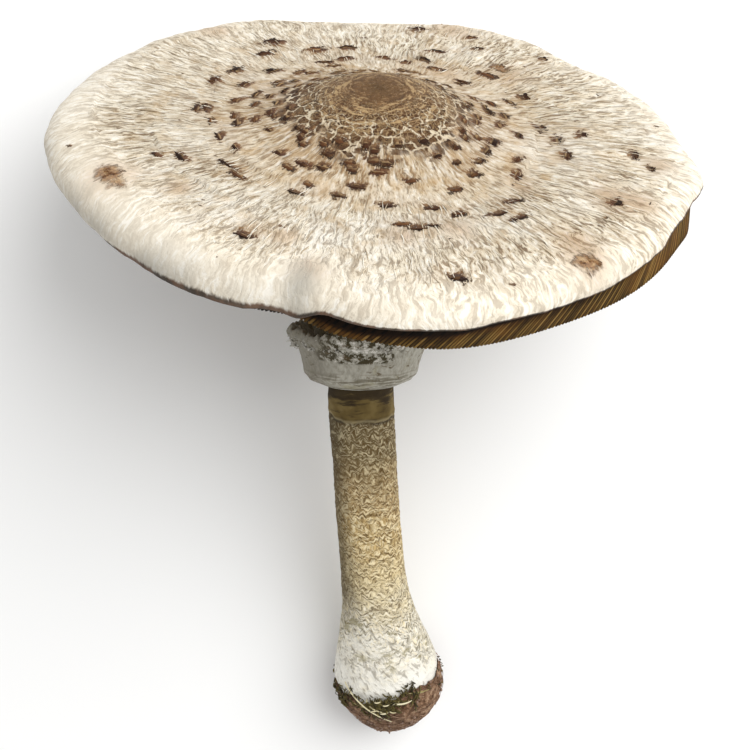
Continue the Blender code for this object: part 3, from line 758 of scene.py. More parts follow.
def stem_finish():
    """Snakeskin stem: white bulb, ochre middle with cream flecks, grey-brown top and olive sleeve, with
    painted light and shade on the zigzag relief, the left side, the bulb's creases, below the ring and under
    the sleeve's lip.
    """
    mix = Recipe("stem skin")
    place, wrap, zigzag = mix.place(), mix.field("wrap"), mix.field("zigzag")
    height = mix.part(wrap, 2)
    level = mix.sum(height, mix.sway(mix.noise(place, 60.0), 7.0))
    # painted light and shade: the zigzag pattern is compared with itself 0.6 mm higher, paler where it faces
    # up, darker where it faces down
    raised = mix.add("VectorMath", {0: zigzag, 1: (0.0, 0.0, 0.6)}, operation="ADD")
    bars, above = (mix.weave(vector, 0.66, 0.98, 4.0, 0.66, 0.35) for vector in (zigzag, raised))
    fine = mix.weave(zigzag, 1.3, 2.0, 3.0, 0.65, 0.5)
    both = mix.sum(mix.times(bars, 0.6), mix.times(fine, 0.4))
    scaly = mix.times(mix.step(level, 22.0, 46.0), mix.step(height, 120.6, 119.4))
    patchy = mix.step(mix.weave(wrap, 0.42, 0.70, 4.0, 0.65), 0.40, 0.58, 0.25, 1.15)
    painted_relief_shading = mix.times(mix.sum(bars, above, operation="SUBTRACT"), scaly, patchy)
    top = mix.step(level, 100.0, 82.0, 0.45, 1.0)
    tuft = mix.weave(zigzag, 0.30, 0.55, 4.0, 0.65)
    slant = mix.add("VectorRotate", {0: mix.stir(wrap, 90.0, 2.0), "Angle": 0.65}, rotation_type="Y_AXIS")
    crease = mix.weave(slant, 0.7, 0.20, 4.0, 0.6)
    white = mix.step(level, 52.0, 34.0)
    blotch = mix.weave(mix.stir(wrap, 130.0, 3.0, 2.0), 0.16, 0.30, 4.0, 0.65)
    bands = mix.weave(mix.stir(wrap, 80.0, 2.0, 3.0), 0.10, 0.55, 4.0, 0.6)
    # height with a wavy shift, for the band of painted shade just below the ring
    shade_below_ring = mix.sum(height, mix.sway(bands, 3.0))
    sleeve = mix.coats(
        mix.ramp(mix.noise(place, 110.0), (0.3, "4A3C20"), (0.5, "65542F"), (0.7, "857349")),
        ("3A2D1A", mix.step(bands, 0.50, 0.62, 0.0, 0.55)),
        # painted shade: dark band just below the ring
        ("2A2015", mix.step(shade_below_ring, 124.0, 127.0, 0.0, 0.85)))

    def fading(high, low, upper, lower):
        return mix.mix(mix.step(level, high, low), upper, lower)

    colour = mix.coats(
        mix.ramp(mix.line(level, 0.0, 200.0), (0.13, "EDEAE0"), (0.20, "E9E3D3"), (0.255, "DFD3B6"),
                 (0.30, "D6C398"), (0.39, "CCAF78"), (0.46, "B2976A"), (0.53, "7B6A4A"),
                 (0.595, "6E5F42"), (0.66, "8C7C60"), (0.80, "B5A384")),
        (fading(58.0, 40.0, "6A5534", "80755A"), mix.step(both, 0.49, 0.42), scaly, 0.62),
        ("F0DFB4", mix.step(both, 0.51, 0.58), scaly, top, 0.80),
        # painted shade below and painted highlight above each zigzag ridge
        (fading(62.0, 42.0, "5A4424", "695F47"), mix.step(painted_relief_shading, -0.01, -0.10, 0.0, 0.68)),
        (fading(64.0, 44.0, "F6E6BE", "FAF6EA"), mix.step(painted_relief_shading, 0.01, 0.09, 0.0, 0.75), top),
        # painted shade: the stem's left side, away from the key light, darker from the bulb up
        ("4C402A", mix.step(mix.part(wrap, 0), -3.0, -11.0), mix.step(level, 34.0, 60.0), 0.80),
        (fading(62.0, 42.0, "5E4827", "8C8369"), mix.step(tuft, 0.53, 0.64, 0.0, 0.45), scaly),
        ("EADBB4", mix.step(tuft, 0.46, 0.36, 0.0, 0.35), scaly),
        # painted shade: grey in the creases of the white bulb
        ("8D8474", mix.step(crease, 0.52, 0.64), white, 0.62),
        ("8C8258", mix.step(blotch, 0.54, 0.63), mix.between(level, 28.0, 36.0, 44.0, 58.0), 0.55),
        (sleeve, mix.value("sleeve")),
        ("C9BB94", mix.value("lip"), 0.35),
        # painted shade: dark line just under the sleeve's torn lip
        ("33291D", mix.value("cleft_shade"), 0.85))
    reliefs = ((mix.times(both, scaly), 1.1), (mix.times(crease, white), 0.55),
               (mix.noise(place, 900.0), 0.12))
    return mix.surface(colour, mix.line(fine, 0.3, 0.7, 0.70, 0.88), reliefs, 0.15)


def ring_finish():
    """Ring: matted grey-white wool darkened as painted shadow of the cap, olive stains, a mottled band round
    its upper front, and painted shade on its lower lip and its left side.
    """
    mix = Recipe("ring wool")
    place, wrap, band = mix.place(), mix.field("wrap"), mix.value("band")
    matted = mix.weave(mix.stir(wrap, 200.0, 1.2), 0.9, 0.5, 4.0, 0.62)
    cloud, mottle = mix.noise(place, 120.0), mix.noise(place, 400.0, 4.0, 0.72)
    scratch = mix.weave(mix.stir(wrap, 150.0, 2.0, 5.0), 0.28, 0.75, 3.0, 0.65)
    lines = mix.weave(mix.stir(wrap, 90.0, 1.2, 8.0), 0.10, 1.5)
    colour = mix.coats(
        # grey-white wool, darkened as a painted shadow of the cap over it
        mix.ramp(matted, (0.30, "8F8A7C"), (0.5, "A8A497"), (0.70, "BBB7AA")),
        ("9C9576", mix.step(cloud, 0.54, 0.68, 0.0, 0.55)),
        ("423B27", band, mix.step(mottle, 0.46, 0.53)),
        ("DCD7CE", band, mix.step(mottle, 0.42, 0.36)),
        ("5D4C33", mix.step(scratch, 0.57, 0.63), mix.step(cloud, 0.46, 0.54), 0.75),
        # painted shade: dark lines under the rolled ridges at the ring's bottom
        ("5F5742", mix.step(mix.part(wrap, 2), 8.0, 4.5), mix.step(lines, 0.50, 0.58), 0.75),
        # painted shade: the ring's left side, away from the key light, darker
        ("716B5E", mix.step(mix.part(wrap, 0), -6.0, -16.0), 0.60))
    return mix.surface(colour, 0.9, ((matted, 0.30), (mottle, 0.14)), 0.2, 0.05)


def earth_finish():
    """Damp reddish-brown earth with paler grains and dark pores, darker towards the upper edge and on the
    inner side, partly damp and partly painted shade.
    """
    mix = Recipe("earth")
    place = mix.place()
    crumb, grit = mix.noise(place, 420.0, 5.0, 0.7), mix.cells(place, 900.0, "F1")
    colour = mix.coats(
        mix.ramp(crumb, (0.32, "33241A"), (0.43, "684B35"), (0.54, "917056"), (0.66, "C0A284")),
        ("4B3022", mix.step(mix.noise(place, 90.0), 0.50, 0.66, 0.0, 0.55)),
        ("B49A80", mix.step(grit, 0.20, 0.10, 0.0, 0.45)),
        ("1F150F", mix.value("damp_and_shade"), 0.8))
    return mix.surface(colour, 0.92, ((crumb, 1.6), (grit, 0.3)), 0.25)


def plant_finish(name, dark, light):
    """Moss, grass or straw, from dark to light by the strand's own tone."""
    mix = Recipe(name)
    cloud = mix.noise(mix.place(), 800.0, 2.0)
    colour = mix.coats(mix.mix(mix.value("tone"), dark, light), (dark, mix.step(cloud, 0.45, 0.7, 0.0, 0.35)))
    return mix.surface(colour, 0.7, ((cloud, 0.15),), 0.3)


def floor_finish():
    """Plain pale floor, very slightly uneven in tone."""
    mix = Recipe("pale floor")
    cloud = mix.noise(mix.place(), 3.0, 2.0)
    return mix.surface(mix.ramp(cloud, (0.3, "F4F4F3"), (0.7, "F7F7F6")), 0.9, ((cloud, 0.02),), 0.1)


# ---------------------------------------------------------------- cap
def scale_places():
    """Bearing, distance, width and length of every scale: rows round the umbo, single ones, specks."""
    chance = np.random.default_rng(7)
    rows, places = np.meshgrid(np.arange(SCALE_ROWS), np.arange(SCALES_PER_ROW), indexing="ij")
    pitch = 360.0 / SCALES_PER_ROW
    distance = SCALE_FIRST * SCALE_RATIO ** (rows + chance.uniform(-0.38, 0.38, rows.shape))
    bearing = (places + 0.5 * (rows % 2) + chance.uniform(-0.40, 0.40, rows.shape)) * pitch
    width = distance * chance.uniform(0.078, 0.142, rows.shape) + 0.8
    length = chance.uniform(2.4, 4.6, rows.shape) + 0.014 * distance
    kept = chance.uniform(0, 1, rows.shape) < np.interp(distance, KEPT_DISTANCE, KEPT_SHARE)
    table = np.stack([bearing, distance, width, length], axis=-1)[kept]
    spans = ((0, 360), (50, 92), (0.8, 2.6), (0.6, 1.4))
    specks = np.stack([chance.uniform(*span, SPECKS) for span in spans], axis=-1)
    crumbs = np.repeat(np.array(PATCHES), CRUMBS_PER_PATCH, axis=0)
    crumbs[:, 0] += chance.uniform(-0.26, 0.26, len(crumbs)) * crumbs[:, 2] / crumbs[:, 1] * 57.3
    crumbs[:, 1] += chance.uniform(-0.26, 0.26, len(crumbs)) * crumbs[:, 3]
    crumbs[:, 2:] = chance.uniform(1.0, 2.4, (len(crumbs), 2))
    near = [(np.abs(offset(table[:, 0], b)) * d / 57.3 < 0.6 * w + 2.5)
            & (np.abs(table[:, 1] - d) < 4.5) for b, d, w, _ in LONE_SCALES]
    return np.concatenate([table[~np.any(near, axis=0)], np.array(LONE_SCALES), specks, crumbs])


def scale_fields(bearings, walks, places):
    """Fields of the skin: how deep inside a scale, how far outwards in it, its age, and its stain.

    Inside is 1.2 less the distance from the scale's middle, measured in halves of its sheared size.
    """
    chance = np.random.default_rng(31)
    stain, slope, age = (np.zeros(walks.shape) for _ in range(3))
    mark = np.full(walks.shape, -1.0)
    for place, distance, width, size in places:
        shear, tint = chance.uniform(-0.7, 0.7), chance.uniform(0, 1)
        along = (walks - distance) / (0.5 * size)
        across = np.radians(offset(bearings, place)) * walks / (0.5 * width) + shear * along * size / width
        inside = 1.2 - np.hypot(across, along)
        better = inside > mark
        mark, slope, age = (np.where(better, new, old) for new, old in
                            ((inside, mark), (along, slope), (tint, age)))
        stain += 0.8 * np.exp(-0.30 * (across ** 2 + (along + 0.5) ** 2)) * min(1.0, 0.25 * width)
    return {"stain": np.minimum(stain, 1.0), "mark": mark, "slope": np.clip(slope, -1.5, 1.5), "age": age}


def make_cap_skin(places):
    """The cap: skin by its walk from the umbo to its edge, then back along the flesh's underside."""
    columns, top_rows, roll_rows = 480, 140, 38
    share, bearing = round_grid(np.linspace(0, 1, top_rows), columns)
    part, turned = round_grid(np.linspace(0, 1, roll_rows + 1)[1:], columns)
    roll_walk = roll_start(turned) + part * edge_turn(turned) * roll_scale(turned)
    walk = np.concatenate([(0.006 + 0.994 * share) * roll_start(bearing), roll_walk])
    skin = on_skin(np.concatenate([bearing, turned]), walk, np.zeros(walk.shape))
    ring = bearing[0]
    back = [from_cap(ring, *roll(ring, edge_turn(ring) - 3.0, 0.9))]
    for degrees in (np.minimum(edge_turn(ring), 80.0), 62.0, 48.0, 32.0, 16.0):
        back.append(from_cap(ring, *roll(ring, degrees + 0 * ring, SKIN)))
    for r in np.linspace(1.0, 0.06, 10)[:, None] * roll_start(ring):
        back.append(from_cap(ring, r, flesh_height(ring, r)))
    rows_back = len(back)
    length = roll_start(ring) + edge_turn(ring) * roll_scale(ring)
    bearings = np.tile(ring, (len(walk) + rows_back, 1))
    walks = np.concatenate([walk, np.tile(length, (rows_back, 1))])
    under = np.zeros(walks.shape)
    under[len(walk):] = 1.0
    under[len(walk)] = 0.4
    # painted shade: the dark rim is widest at the left
    rim = blend(RIM_WIDTH, bump(ring, RIM_BEARING, RIM_SPREAD))
    smudge = np.zeros(walks.shape)
    for place, distance, reach in SMUDGES:
        across = np.radians(offset(bearings, place)) * walks
        smudge += np.exp(-(across ** 2 + (walks - distance) ** 2) / (reach * reach))
    patch = np.full(walks.shape, -1.0)
    for place, distance, width, size in PATCHES:
        across = np.radians(offset(bearings, place)) * distance / (0.5 * width)
        patch = np.maximum(patch, 1.1 - np.hypot(across, (walks - distance) / (0.5 * size)))
    # paler, smoother skin on the rolled margin; the same field also carries painted light on the back left of
    # the top, which faces away from the key light
    rolled = fade(walks - roll_start(bearings), -9.0, 9.0) * (0.60 + 0.40 * bump(bearings, -135.0, 42.0))
    painted_light_back_left = 0.40 * bump(bearings, 135.0, 42.0) * fade(walks, 44.0, 62.0)
    # painted shade: grey near the skin's edge on the left roll, and down the crease at the front left
    painted_shade = fade(walks - length, -17.0, -3.0) * bump(bearings, -148.0, 42.0)
    crease = 0.9 * bump(bearings, CREASE_BEARING, 3.4) * fade(walks, CREASE_FROM + 4.0, CREASE_FROM + 18.0)
    fields = {"spokes": wheel(bearings, 1.0, walks),
              "rows": wheel(bearings, 5.4, 9.0 * np.log1p(walks / 8.0)),
              "edge": np.clip(1 - (length - walks) / rim, 0.0, 1.0), "under": under, "patch": patch,
              "smudge": smudge, "painted_shade": np.maximum(painted_shade, crease), "rolled": np.maximum(rolled, painted_light_back_left)}
    fields.update(scale_fields(bearings, walks, places))
    grid = np.concatenate([skin, np.array(back)])
    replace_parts(lathe("cap_surface", grid, fields, cap_skin_finish()), "cap")


def make_scales(places):
    """Thin torn flakes on the skin: an uneven ellipse each, domed, its outer edge curled up.

    Each is a pole, three rings and a pole. Its height is a low dome, plus a curl that grows with
    the square of the way to the free edge, and less a dip towards the umbo.
    """
    chance = np.random.default_rng(13)
    number = len(places)
    bearing, distance, width, length = (places[:, k][:, None, None] for k in range(4))
    turn = 2 * math.pi * np.arange(FLAKE_SECTORS) / FLAKE_SECTORS
    out = np.array([0.0, 0.55, 1.0, 0.94, 0.0])[:, None]
    waves = np.arange(2, 7)[:, None]
    height, shift = chance.uniform(-1, 1, (number, 5, 1)), chance.uniform(0, 6.3, (number, 5, 1))
    lobes = (height * np.cos(waves * turn + shift)).sum(1)
    torn = FLAKE_JAG * (0.55 * lobes[:, None] + 0.45 * chance.uniform(-1, 1, (number, 1, FLAKE_SECTORS)))
    uneven = 1 + torn * np.array([0, 0.5, 1, 1, 0])[:, None]
    across = 0.5 * width * out * uneven * np.cos(turn)
    along = 0.5 * length * out * uneven * np.sin(turn)
    free = np.clip(along / (0.5 * length), -1, 1)
    curled = FLAKE_CURL * chance.uniform(0.3, 1.0, (number, 1, 1)) * np.maximum(free, 0) ** 2
    height = 0.06 + 0.10 * (1 - out ** 2) + curled - 0.30 * np.maximum(-free, 0) ** 2
    height[:, 3:] = np.minimum(height - FLAKE_THICK, -0.05 + 0.8 * curled)[:, 3:]
    height[:, 4:] = -0.35
    walk = distance + along
    points = on_skin(bearing + np.degrees(across / np.maximum(distance, 5.0)), walk, height)
    spokes = wheel(np.broadcast_to(bearing, walk.shape), 1.0, walk)

    def shells(values):
        poles = values[:, 0, :1], values[:, 4, :1]
        rings = values[:, 1:4].reshape(number, -1, *values.shape[3:])
        return np.concatenate([poles[0], rings, poles[1]], 1).reshape(-1, *values.shape[3:])

    fields = {"free": shells(0.5 + 0.5 * free), "spokes": shells(spokes),
              "tone": np.repeat(chance.uniform(0, 1, number), 3 * FLAKE_SECTORS + 2)}
    faces = shell_faces(number, 3, FLAKE_SECTORS)
    make_mesh("cap_scales", shells(points), faces, fields, scale_finish())


def make_cap_fibres():
    """Loose fibres lying outwards on the skin, each gently bent, its ends pressed in."""
    chance = np.random.default_rng(11)
    number, nearest, farthest = 1700, 0.22, 96.0
    share = np.linspace(0, 1, 6)
    start = farthest * np.sqrt(chance.uniform(nearest, 1.0, number))[:, None]
    bearing = chance.uniform(0, 360, number)
    walk = start + chance.uniform(3.0, 8.5, number)[:, None] * share
    swing = chance.uniform(-1.1, 1.1, (number, 1))
    swing = swing + chance.uniform(-0.9, 0.9, (number, 1)) * np.sin(3 * share)
    turned = bearing[:, None] + np.degrees(swing * share / start)
    arch = np.sin(math.pi * share)
    height = -0.10 + chance.uniform(0.12, 0.34, (number, 1)) * arch
    inside = walk.max(axis=1) < roll_start(bearing) + 2.0
    radii = chance.uniform(0.10, 0.22, (number, 1)) * (0.35 + 0.65 * arch)
    tone = chance.uniform(0, 1, number)[inside]
    paths = on_skin(turned, walk, height)[inside]
    strands("cap_fibres", paths, radii[inside], tone, fibre_finish(), "cap_skin", sides=3)


# ---------------------------------------------------------------- gills
def make_gills():
    """Gill blades as one pleated surface: four columns to a blade, its two roots and its two edges.

    The pleat's depth is the profile from the hole to the steep outer face, times a smooth start
    that comes later on the half and short blades; near the margin the blades lean to the left.
    """
    blades = 4 * GILLS_OF_EACH
    chance = np.random.default_rng(5)
    pitch = 360.0 / blades
    middle = np.arange(blades) * pitch + chance.uniform(-0.10, 0.10, blades) * pitch
    columns = (middle[:, None] + pitch * np.array([-0.46, -0.20, 0.20, 0.46])).ravel()
    is_edge = np.tile([0.0, 1.0, 1.0, 0.0], blades)
    kind = np.arange(blades) % 4
    begin = np.choose(kind, [0.0, 0.62, 0.34, 0.68])
    begin = np.repeat(begin + np.where(kind > 0, chance.uniform(-0.06, 0.06, blades), 0), 4)
    tone = np.repeat(0.62 * chance.uniform(0, 1, blades) + 0.38 * (kind % 2), 4)
    corner_r, corner_z = gill_corner(columns)
    lip_r, lip_z = roll(columns, 62.0 + 0 * columns, SKIN + GAP)
    skin_r, skin_z = roll(columns, edge_turn(columns), 0.0)
    slope = 0.30 + 0.42 * bump(columns, -90.0, 60.0)
    hub_z = flesh_height(columns, 0 * columns)[0] - GAP - GILL_ROOT - GILL_INNER_DEPTH
    points, low, reach = [], [], []

    def root_height(r):
        return flesh_height(columns, r) - GAP - GILL_ROOT

    def add_row(r, root_z, edge_z, deep, along):
        filled = 0.93 * fade(along, 0.90, 1.0)
        pleat = (filled + (1 - filled) * is_edge) * deep
        depth = (root_z - edge_z) * pleat
        sway = 0.55 * np.sin(9.0 * along + 0.02 * columns) * along
        lean = -5.6 * fade(along, 0.55, 1.0) * depth / 11.0
        points.append(from_cap(columns + sway + lean, r, root_z - depth))
        reach.append(along + 0 * columns)
        return pleat

    for share in np.linspace(0.0, 1.0, 8):
        r = lip_r + (corner_r - lip_r) * share
        root = np.minimum(root_height(np.minimum(r, roll_start(columns))), lip_z - GILL_ROOT)
        edge = lip_z + (corner_z - lip_z) * max(share, 0.10)
        pleat = add_row(r, root, edge, 1.0, 1.0)
        # painted shade: low stays near 0, so near-black, for the first 4 mm below the skin's edge
        below_skin = np.clip((skin_z - slope * (skin_r - r) - edge) / 4.0, 0.0, 1.0)
        low.append((0.75 + 0.25 * is_edge) * below_skin * (0.8 + 0.2 * pleat))
    for share in np.linspace(0.97, 0.0, 30):
        r = GILL_HOLE + (corner_r - GILL_HOLE) * share
        root = root_height(r)
        lip_root = lip_z - GILL_ROOT
        root = np.minimum(root, lip_root + (root - lip_root) * fade(1 - share, 0.0, 0.08))
        starts = np.where(begin > 0.1, fade(share, begin, begin + 0.10), 1.0)
        deep = (1 - 0.75 * math.exp(-(share / 0.11) ** 2)) * starts
        pleat = add_row(r, root, corner_z * share + hub_z * (1 - share), deep, share)
        # painted shade: darker in the valleys and where the pleat is shallow, near the roots
        low.append((0.45 + 0.55 * is_edge) * fade(pleat, 0.0, 0.5))
    for share in (0.0, 0.12, 0.3, 0.55, 0.8, 1.0):
        r = GILL_HOLE + (roll_start(columns) - GILL_HOLE) * share
        points.append(from_cap(columns, r, flesh_height(columns, r) - GAP))
        reach.append(share + 0 * columns)
    for degrees in (32.0, 62.0):
        points.append(from_cap(columns, *roll(columns, degrees + 0 * columns, SKIN + GAP)))
        reach.append(1 + 0 * columns)
    low.extend([0 * columns] * (len(points) - len(low)))
    rows = (len(points), 1)
    # the valley field marks the roots between the blades, which the finish paints dark as shade
    fields = {"low": np.array(low), "reach": np.array(reach), "tone": np.tile(tone, rows),
              "valley_shade": np.tile(1 - is_edge, rows)}
    piece = lathe("gill_blades", np.array(points), fields, gill_finish(), loop=True)
    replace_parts(piece, "gills")


# ---------------------------------------------------------------- stem, ring and soil
def sleeve_lip(bearing):
    """Height of the sleeve's torn lower lip round the stem."""
    ring = wheel(bearing, 6.0, 0.0)
    return 119.6 + 1.5 * grain(ring, 3.4, 21) + 0.5 * grain(ring, 1.1, 22)


def soil_line(bearing):
    """Height of the ragged upper edge of the soil round the bulb."""
    ring = wheel(bearing, 18.0, 0.0)
    large, medium = 1.6 * grain(ring, 7.0, 23), 1.0 * grain(ring, 2.2, 24)
    return soil_edge(bearing) + large + medium + 0.5 * grain(ring, 0.9, 25)


def make_stem():
    """The stem: the frame's section at each height, with zigzag skin, creases and a sleeve on top."""
    heights = np.concatenate([np.linspace(2.3, 17.0, 12), np.linspace(18.0, 131.0, 372),
                              NECK_HEIGHT + NECK_LENGTH * np.linspace(0.12, 1.0, 40)])
    level, bearing = round_grid(heights, 220)
    cover = SOIL_EDGE * SOIL_TAPER
    gap = GAP * np.clip((soil_edge(bearing) + cover - level) / cover, 0.0, 1.0)
    reach = body_radius(level) - soil_depth(bearing, level) - gap
    bare = around_stem(bearing, level, reach)
    phase = 21 * bearing / 360 + 1.5 * grain(bare, 7.0, 31)
    wave = np.abs((phase % 1.0) * 2 - 1) * 2 - 1
    jagged = level + 0.75 * wave * (0.7 + 0.6 * grain(bare, 5.0, 38)) + 0.9 * grain(bare, 1.7, 32)
    zigzag = wheel(bearing, SHAFT, jagged)
    lip = sleeve_lip(bearing)
    sleeve = fade(level, lip - 0.35, lip + 0.15)
    flare = 0.10 * np.exp(-((level - lip - 0.5) / 0.9) ** 2)
    scaly = fade(level, 28.0, 48.0) * fade(-level, -119.5, -117.0)
    slant = bare @ np.array([[1.0, 0, 0.35], [0, 1.0, 0], [-0.35, 0, 0.5]])
    relief = 0.16 * scaly * grain(zigzag * np.array([0.45, 0.45, 1.0]), 1.0, 33)
    relief += 0.30 * grain(bare, 14.0, 34) + 0.12 * grain(bare, 5.0, 35)
    relief += 0.26 * fade(-level, -56.0, -34.0) * grain(slant, 2.6, 36) + (0.16 + flare) * sleeve
    free = 1 - fade(soil_edge(bearing) - level, -1.0, 1.5)
    free = free * fade(np.abs(level - RING_HEIGHT - 2.0), 2.5, 6.0)
    reach = reach + relief * free * fade(NECK_HEIGHT + NECK_LENGTH - level, 0.5, 6.0)
    # painted shade under the sleeve's lip, in broken stretches
    cleft_shade = np.exp(-((level - lip + 0.5) / 0.55) ** 2) * fade(grain(bare, 4.0, 37), -0.5, 0.1)
    fields = {"wrap": wheel(bearing, reach, level), "zigzag": zigzag,
              "sleeve": sleeve * fade(-level, -140.0, -131.0),
              "lip": np.exp(-((level - lip - 0.3) / 0.5) ** 2), "cleft_shade": cleft_shade}
    grid = around_stem(bearing, level, reach)
    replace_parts(lathe("stem_surface", grid, fields, stem_finish()), "stem")


def ring_section(rows):
    """The ring's closed section with that many points: the frame's outline with softened corners."""
    outline = np.array(RING_PROFILE)
    for _ in range(3):
        after = np.roll(outline, -1, axis=0)
        cuts = np.stack([0.75 * outline + 0.25 * after, 0.25 * outline + 0.75 * after], axis=1)
        outline = cuts.reshape(-1, 2)
    closed = np.vstack([outline, outline[:1]])
    length = np.concatenate([[0], np.cumsum(np.linalg.norm(np.diff(closed, axis=0), axis=1))])
    at = np.linspace(0, length[-1], rows, endpoint=False)
    return [np.interp(at, length, closed[:, k]) for k in (0, 1)]


def ring_point(bearing, outwards, upwards):
    """Point of the ring from its section, tilted a little."""
    reach = body_radius(np.array(RING_HEIGHT)) + GAP + outwards
    slide = -math.tan(math.radians(RING_TILT)) * reach * np.sin(np.radians(bearing))
    return around_stem(bearing, RING_HEIGHT + upwards, reach, slide)


def make_ring():
    """The ring: its section turned about the stem, with folds, a torn rim and rolled lip lines."""
    section_out, section_up = ring_section(84)
    outwards, bearing = round_grid(section_out, 420)
    upwards = round_grid(section_up, 420)[0]
    around = wheel(bearing, 20.0, upwards)
    flat = around * np.array([1, 1, 0])
    high = fade(upwards, 13.0, 20.0)
    torn = grain(flat, 2.6, 51) + 0.7 * grain(flat, 0.9, 52)
    frayed = bump(bearing, 196.0, 26.0)
    upwards = upwards - high * np.maximum(0.0, 1.4 * torn + 0.3) * (1 + 0.8 * frayed)
    outer = fade(outwards, 2.0, 6.0)
    outwards = outwards + high * (0.9 * torn * (0.5 + 1.2 * frayed) + 1.2 * frayed)
    folds = 0.40 * grain(around * np.array([1, 1, 0.25]), 4.6, 53) + 0.22 * grain(around, 2.2, 54)
    rolls = 0.40 * np.sin(upwards * 2.9 + 0.8 * grain(around, 9.0, 56)) * fade(-upwards, -5.5, -1.0)
    outwards = np.maximum(outwards + outer * (folds + rolls), 0.0)
    band = fade(upwards, 10.0, 11.2) * bump(bearing, -91.0, 44.0)
    band = fade(band + 0.12 * grain(around, 3.0, 55), 0.42, 0.52) * outer
    fields = {"wrap": wheel(bearing, SHAFT + outwards, upwards), "band": band}
    grid = ring_point(bearing, outwards, upwards)
    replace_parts(lathe("ring_cup", grid, fields, ring_finish(), loop=True), "ring")


def make_ring_fibres():
    """Frayed wool on the ring's rim, most of it at the left, as thin bent strands."""
    chance = np.random.default_rng(17)
    number = 260
    share = np.linspace(0, 1, 6)

    def drawn(low, high):
        return chance.uniform(low, high, number)

    left = drawn(0, 1) < 0.45
    bearing = np.where(left, 196 + chance.normal(0, 17, number), drawn(0, 360))
    begin_out, begin_up = drawn(9.4, 11.6), drawn(14.0, 19.0)
    outward_by = np.where(left, drawn(0.4, 2.4), drawn(0.0, 0.8))
    upward_by = np.where(left, drawn(-1.2, 1.2), drawn(-0.8, 1.2))
    around = bearing[:, None] + drawn(-6, 6)[:, None] * share
    outwards = begin_out[:, None] + outward_by[:, None] * share
    paths = ring_point(around, outwards, begin_up[:, None] + upward_by[:, None] * share ** 1.6)
    radii = drawn(0.30, 0.75)[:, None] * (1.0 - 0.88 * share)
    finish = plant_finish("ring fibres", "98948A", "C8C4BA")
    strands("ring_fibres", paths, radii, drawn(0, 1), finish, "ring_wool", flat=0.5)


def make_soil():
    """The soil: a lumpy crust on the bulb, up to a ragged edge, and back along its inner side."""
    share, bearing = round_grid(np.linspace(0.0, 1.0, 92), 300)
    level = 0.5 + (soil_line(bearing[0]) - 0.5) * share ** 1.25
    reach = body_radius(level)
    bare = around_stem(bearing, level, reach)
    thin = fade(1 - share, 0.0, 0.10)
    lumps = 0.34 * rough(bare, 4.2, 61, 4) + 0.20 * np.abs(grain(bare, 1.3, 66)) - 0.15
    reach = reach + lumps * thin + 0.10 - (1 - thin) * (soil_depth(bearing, level) - 0.05)
    outer = around_stem(bearing, level, np.maximum(reach, 0.3))
    back, around = level[::-6], bearing[::-6]
    inner_reach = np.maximum(body_radius(back) - soil_depth(around, back) + 0.02, 0.2)
    inner = around_stem(around, np.maximum(back, 2.0), inner_reach)
    # dark patches growing darker towards the soil's upper edge, and a fully dark inner side: partly damp,
    # partly painted shade in the gap against the bulb
    damp_and_shade = fade(rough(bare, 9.0, 68, 3), 0.15, 0.8) * fade(share, 0.3, 1.0)
    fields = {"damp_and_shade": np.concatenate([damp_and_shade, np.ones(back.shape)])}
    piece = lathe("soil_crust", np.concatenate([outer, inner]), fields, earth_finish())
    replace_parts(piece, "soil")


def make_crumbs():
    """Crumbs of earth on the crust: six-sided pebbles of three rings, each squashed its own way."""
    chance = np.random.default_rng(23)
    number, sides = 460, 6
    bearing = chance.uniform(0, 360, number)
    level = 1.5 + (soil_line(bearing) - 1.0) * chance.uniform(0, 1, number) ** 0.8
    size = 0.15 + 0.55 * chance.uniform(0, 1, number) ** 2.5
    centre = around_stem(bearing, level, body_radius(level) + 0.10 * size)
    tilt = np.radians([-62, -10, 42])[:, None]
    shell = wheel(np.arange(sides) * 360.0 / sides, np.cos(tilt), np.sin(tilt))
    shell = np.concatenate([[[0, 0, -1.0]], shell.reshape(-1, 3), [[0, 0, 1.0]]])
    squash = chance.uniform(0.6, 1.2, (number, 1, 3)) * chance.uniform(0.8, 1.2, (number, len(shell), 1))
    points = (centre[:, None] + shell * squash * size[:, None, None]).reshape(-1, 3)
    fields = {"damp_and_shade": np.repeat(chance.uniform(0, 0.6, number), len(shell))}
    faces = shell_faces(number, 3, sides, flip=True)
    make_mesh("soil_crumbs", points, faces, fields, bpy.data.materials["earth"])


def bulb_strands(name, bearing, level, shape, tone, colours, steps=6, **form):
    """Strands on the bulb: from a place round it, turning and climbing, and standing off it in an arc.

    The shape is four arrays: degrees turned, millimetres climbed, stand and width.
    """
    turn_by, climb, stand, width = (values[:, None] for values in shape)
    share = np.linspace(0, 1, steps)
    at = level[:, None] + climb * share
    off = 0.25 + stand * np.sin(math.pi * share * 0.9)
    paths = around_stem(bearing[:, None] + turn_by * share, at, body_radius(at) + off)
    radii = width * (0.45 + 0.55 * np.sin(math.pi * (0.15 + 0.8 * share)))
    strands(name, paths, radii, tone, plant_finish(name.replace("_", " "), *colours), "earth", **form)


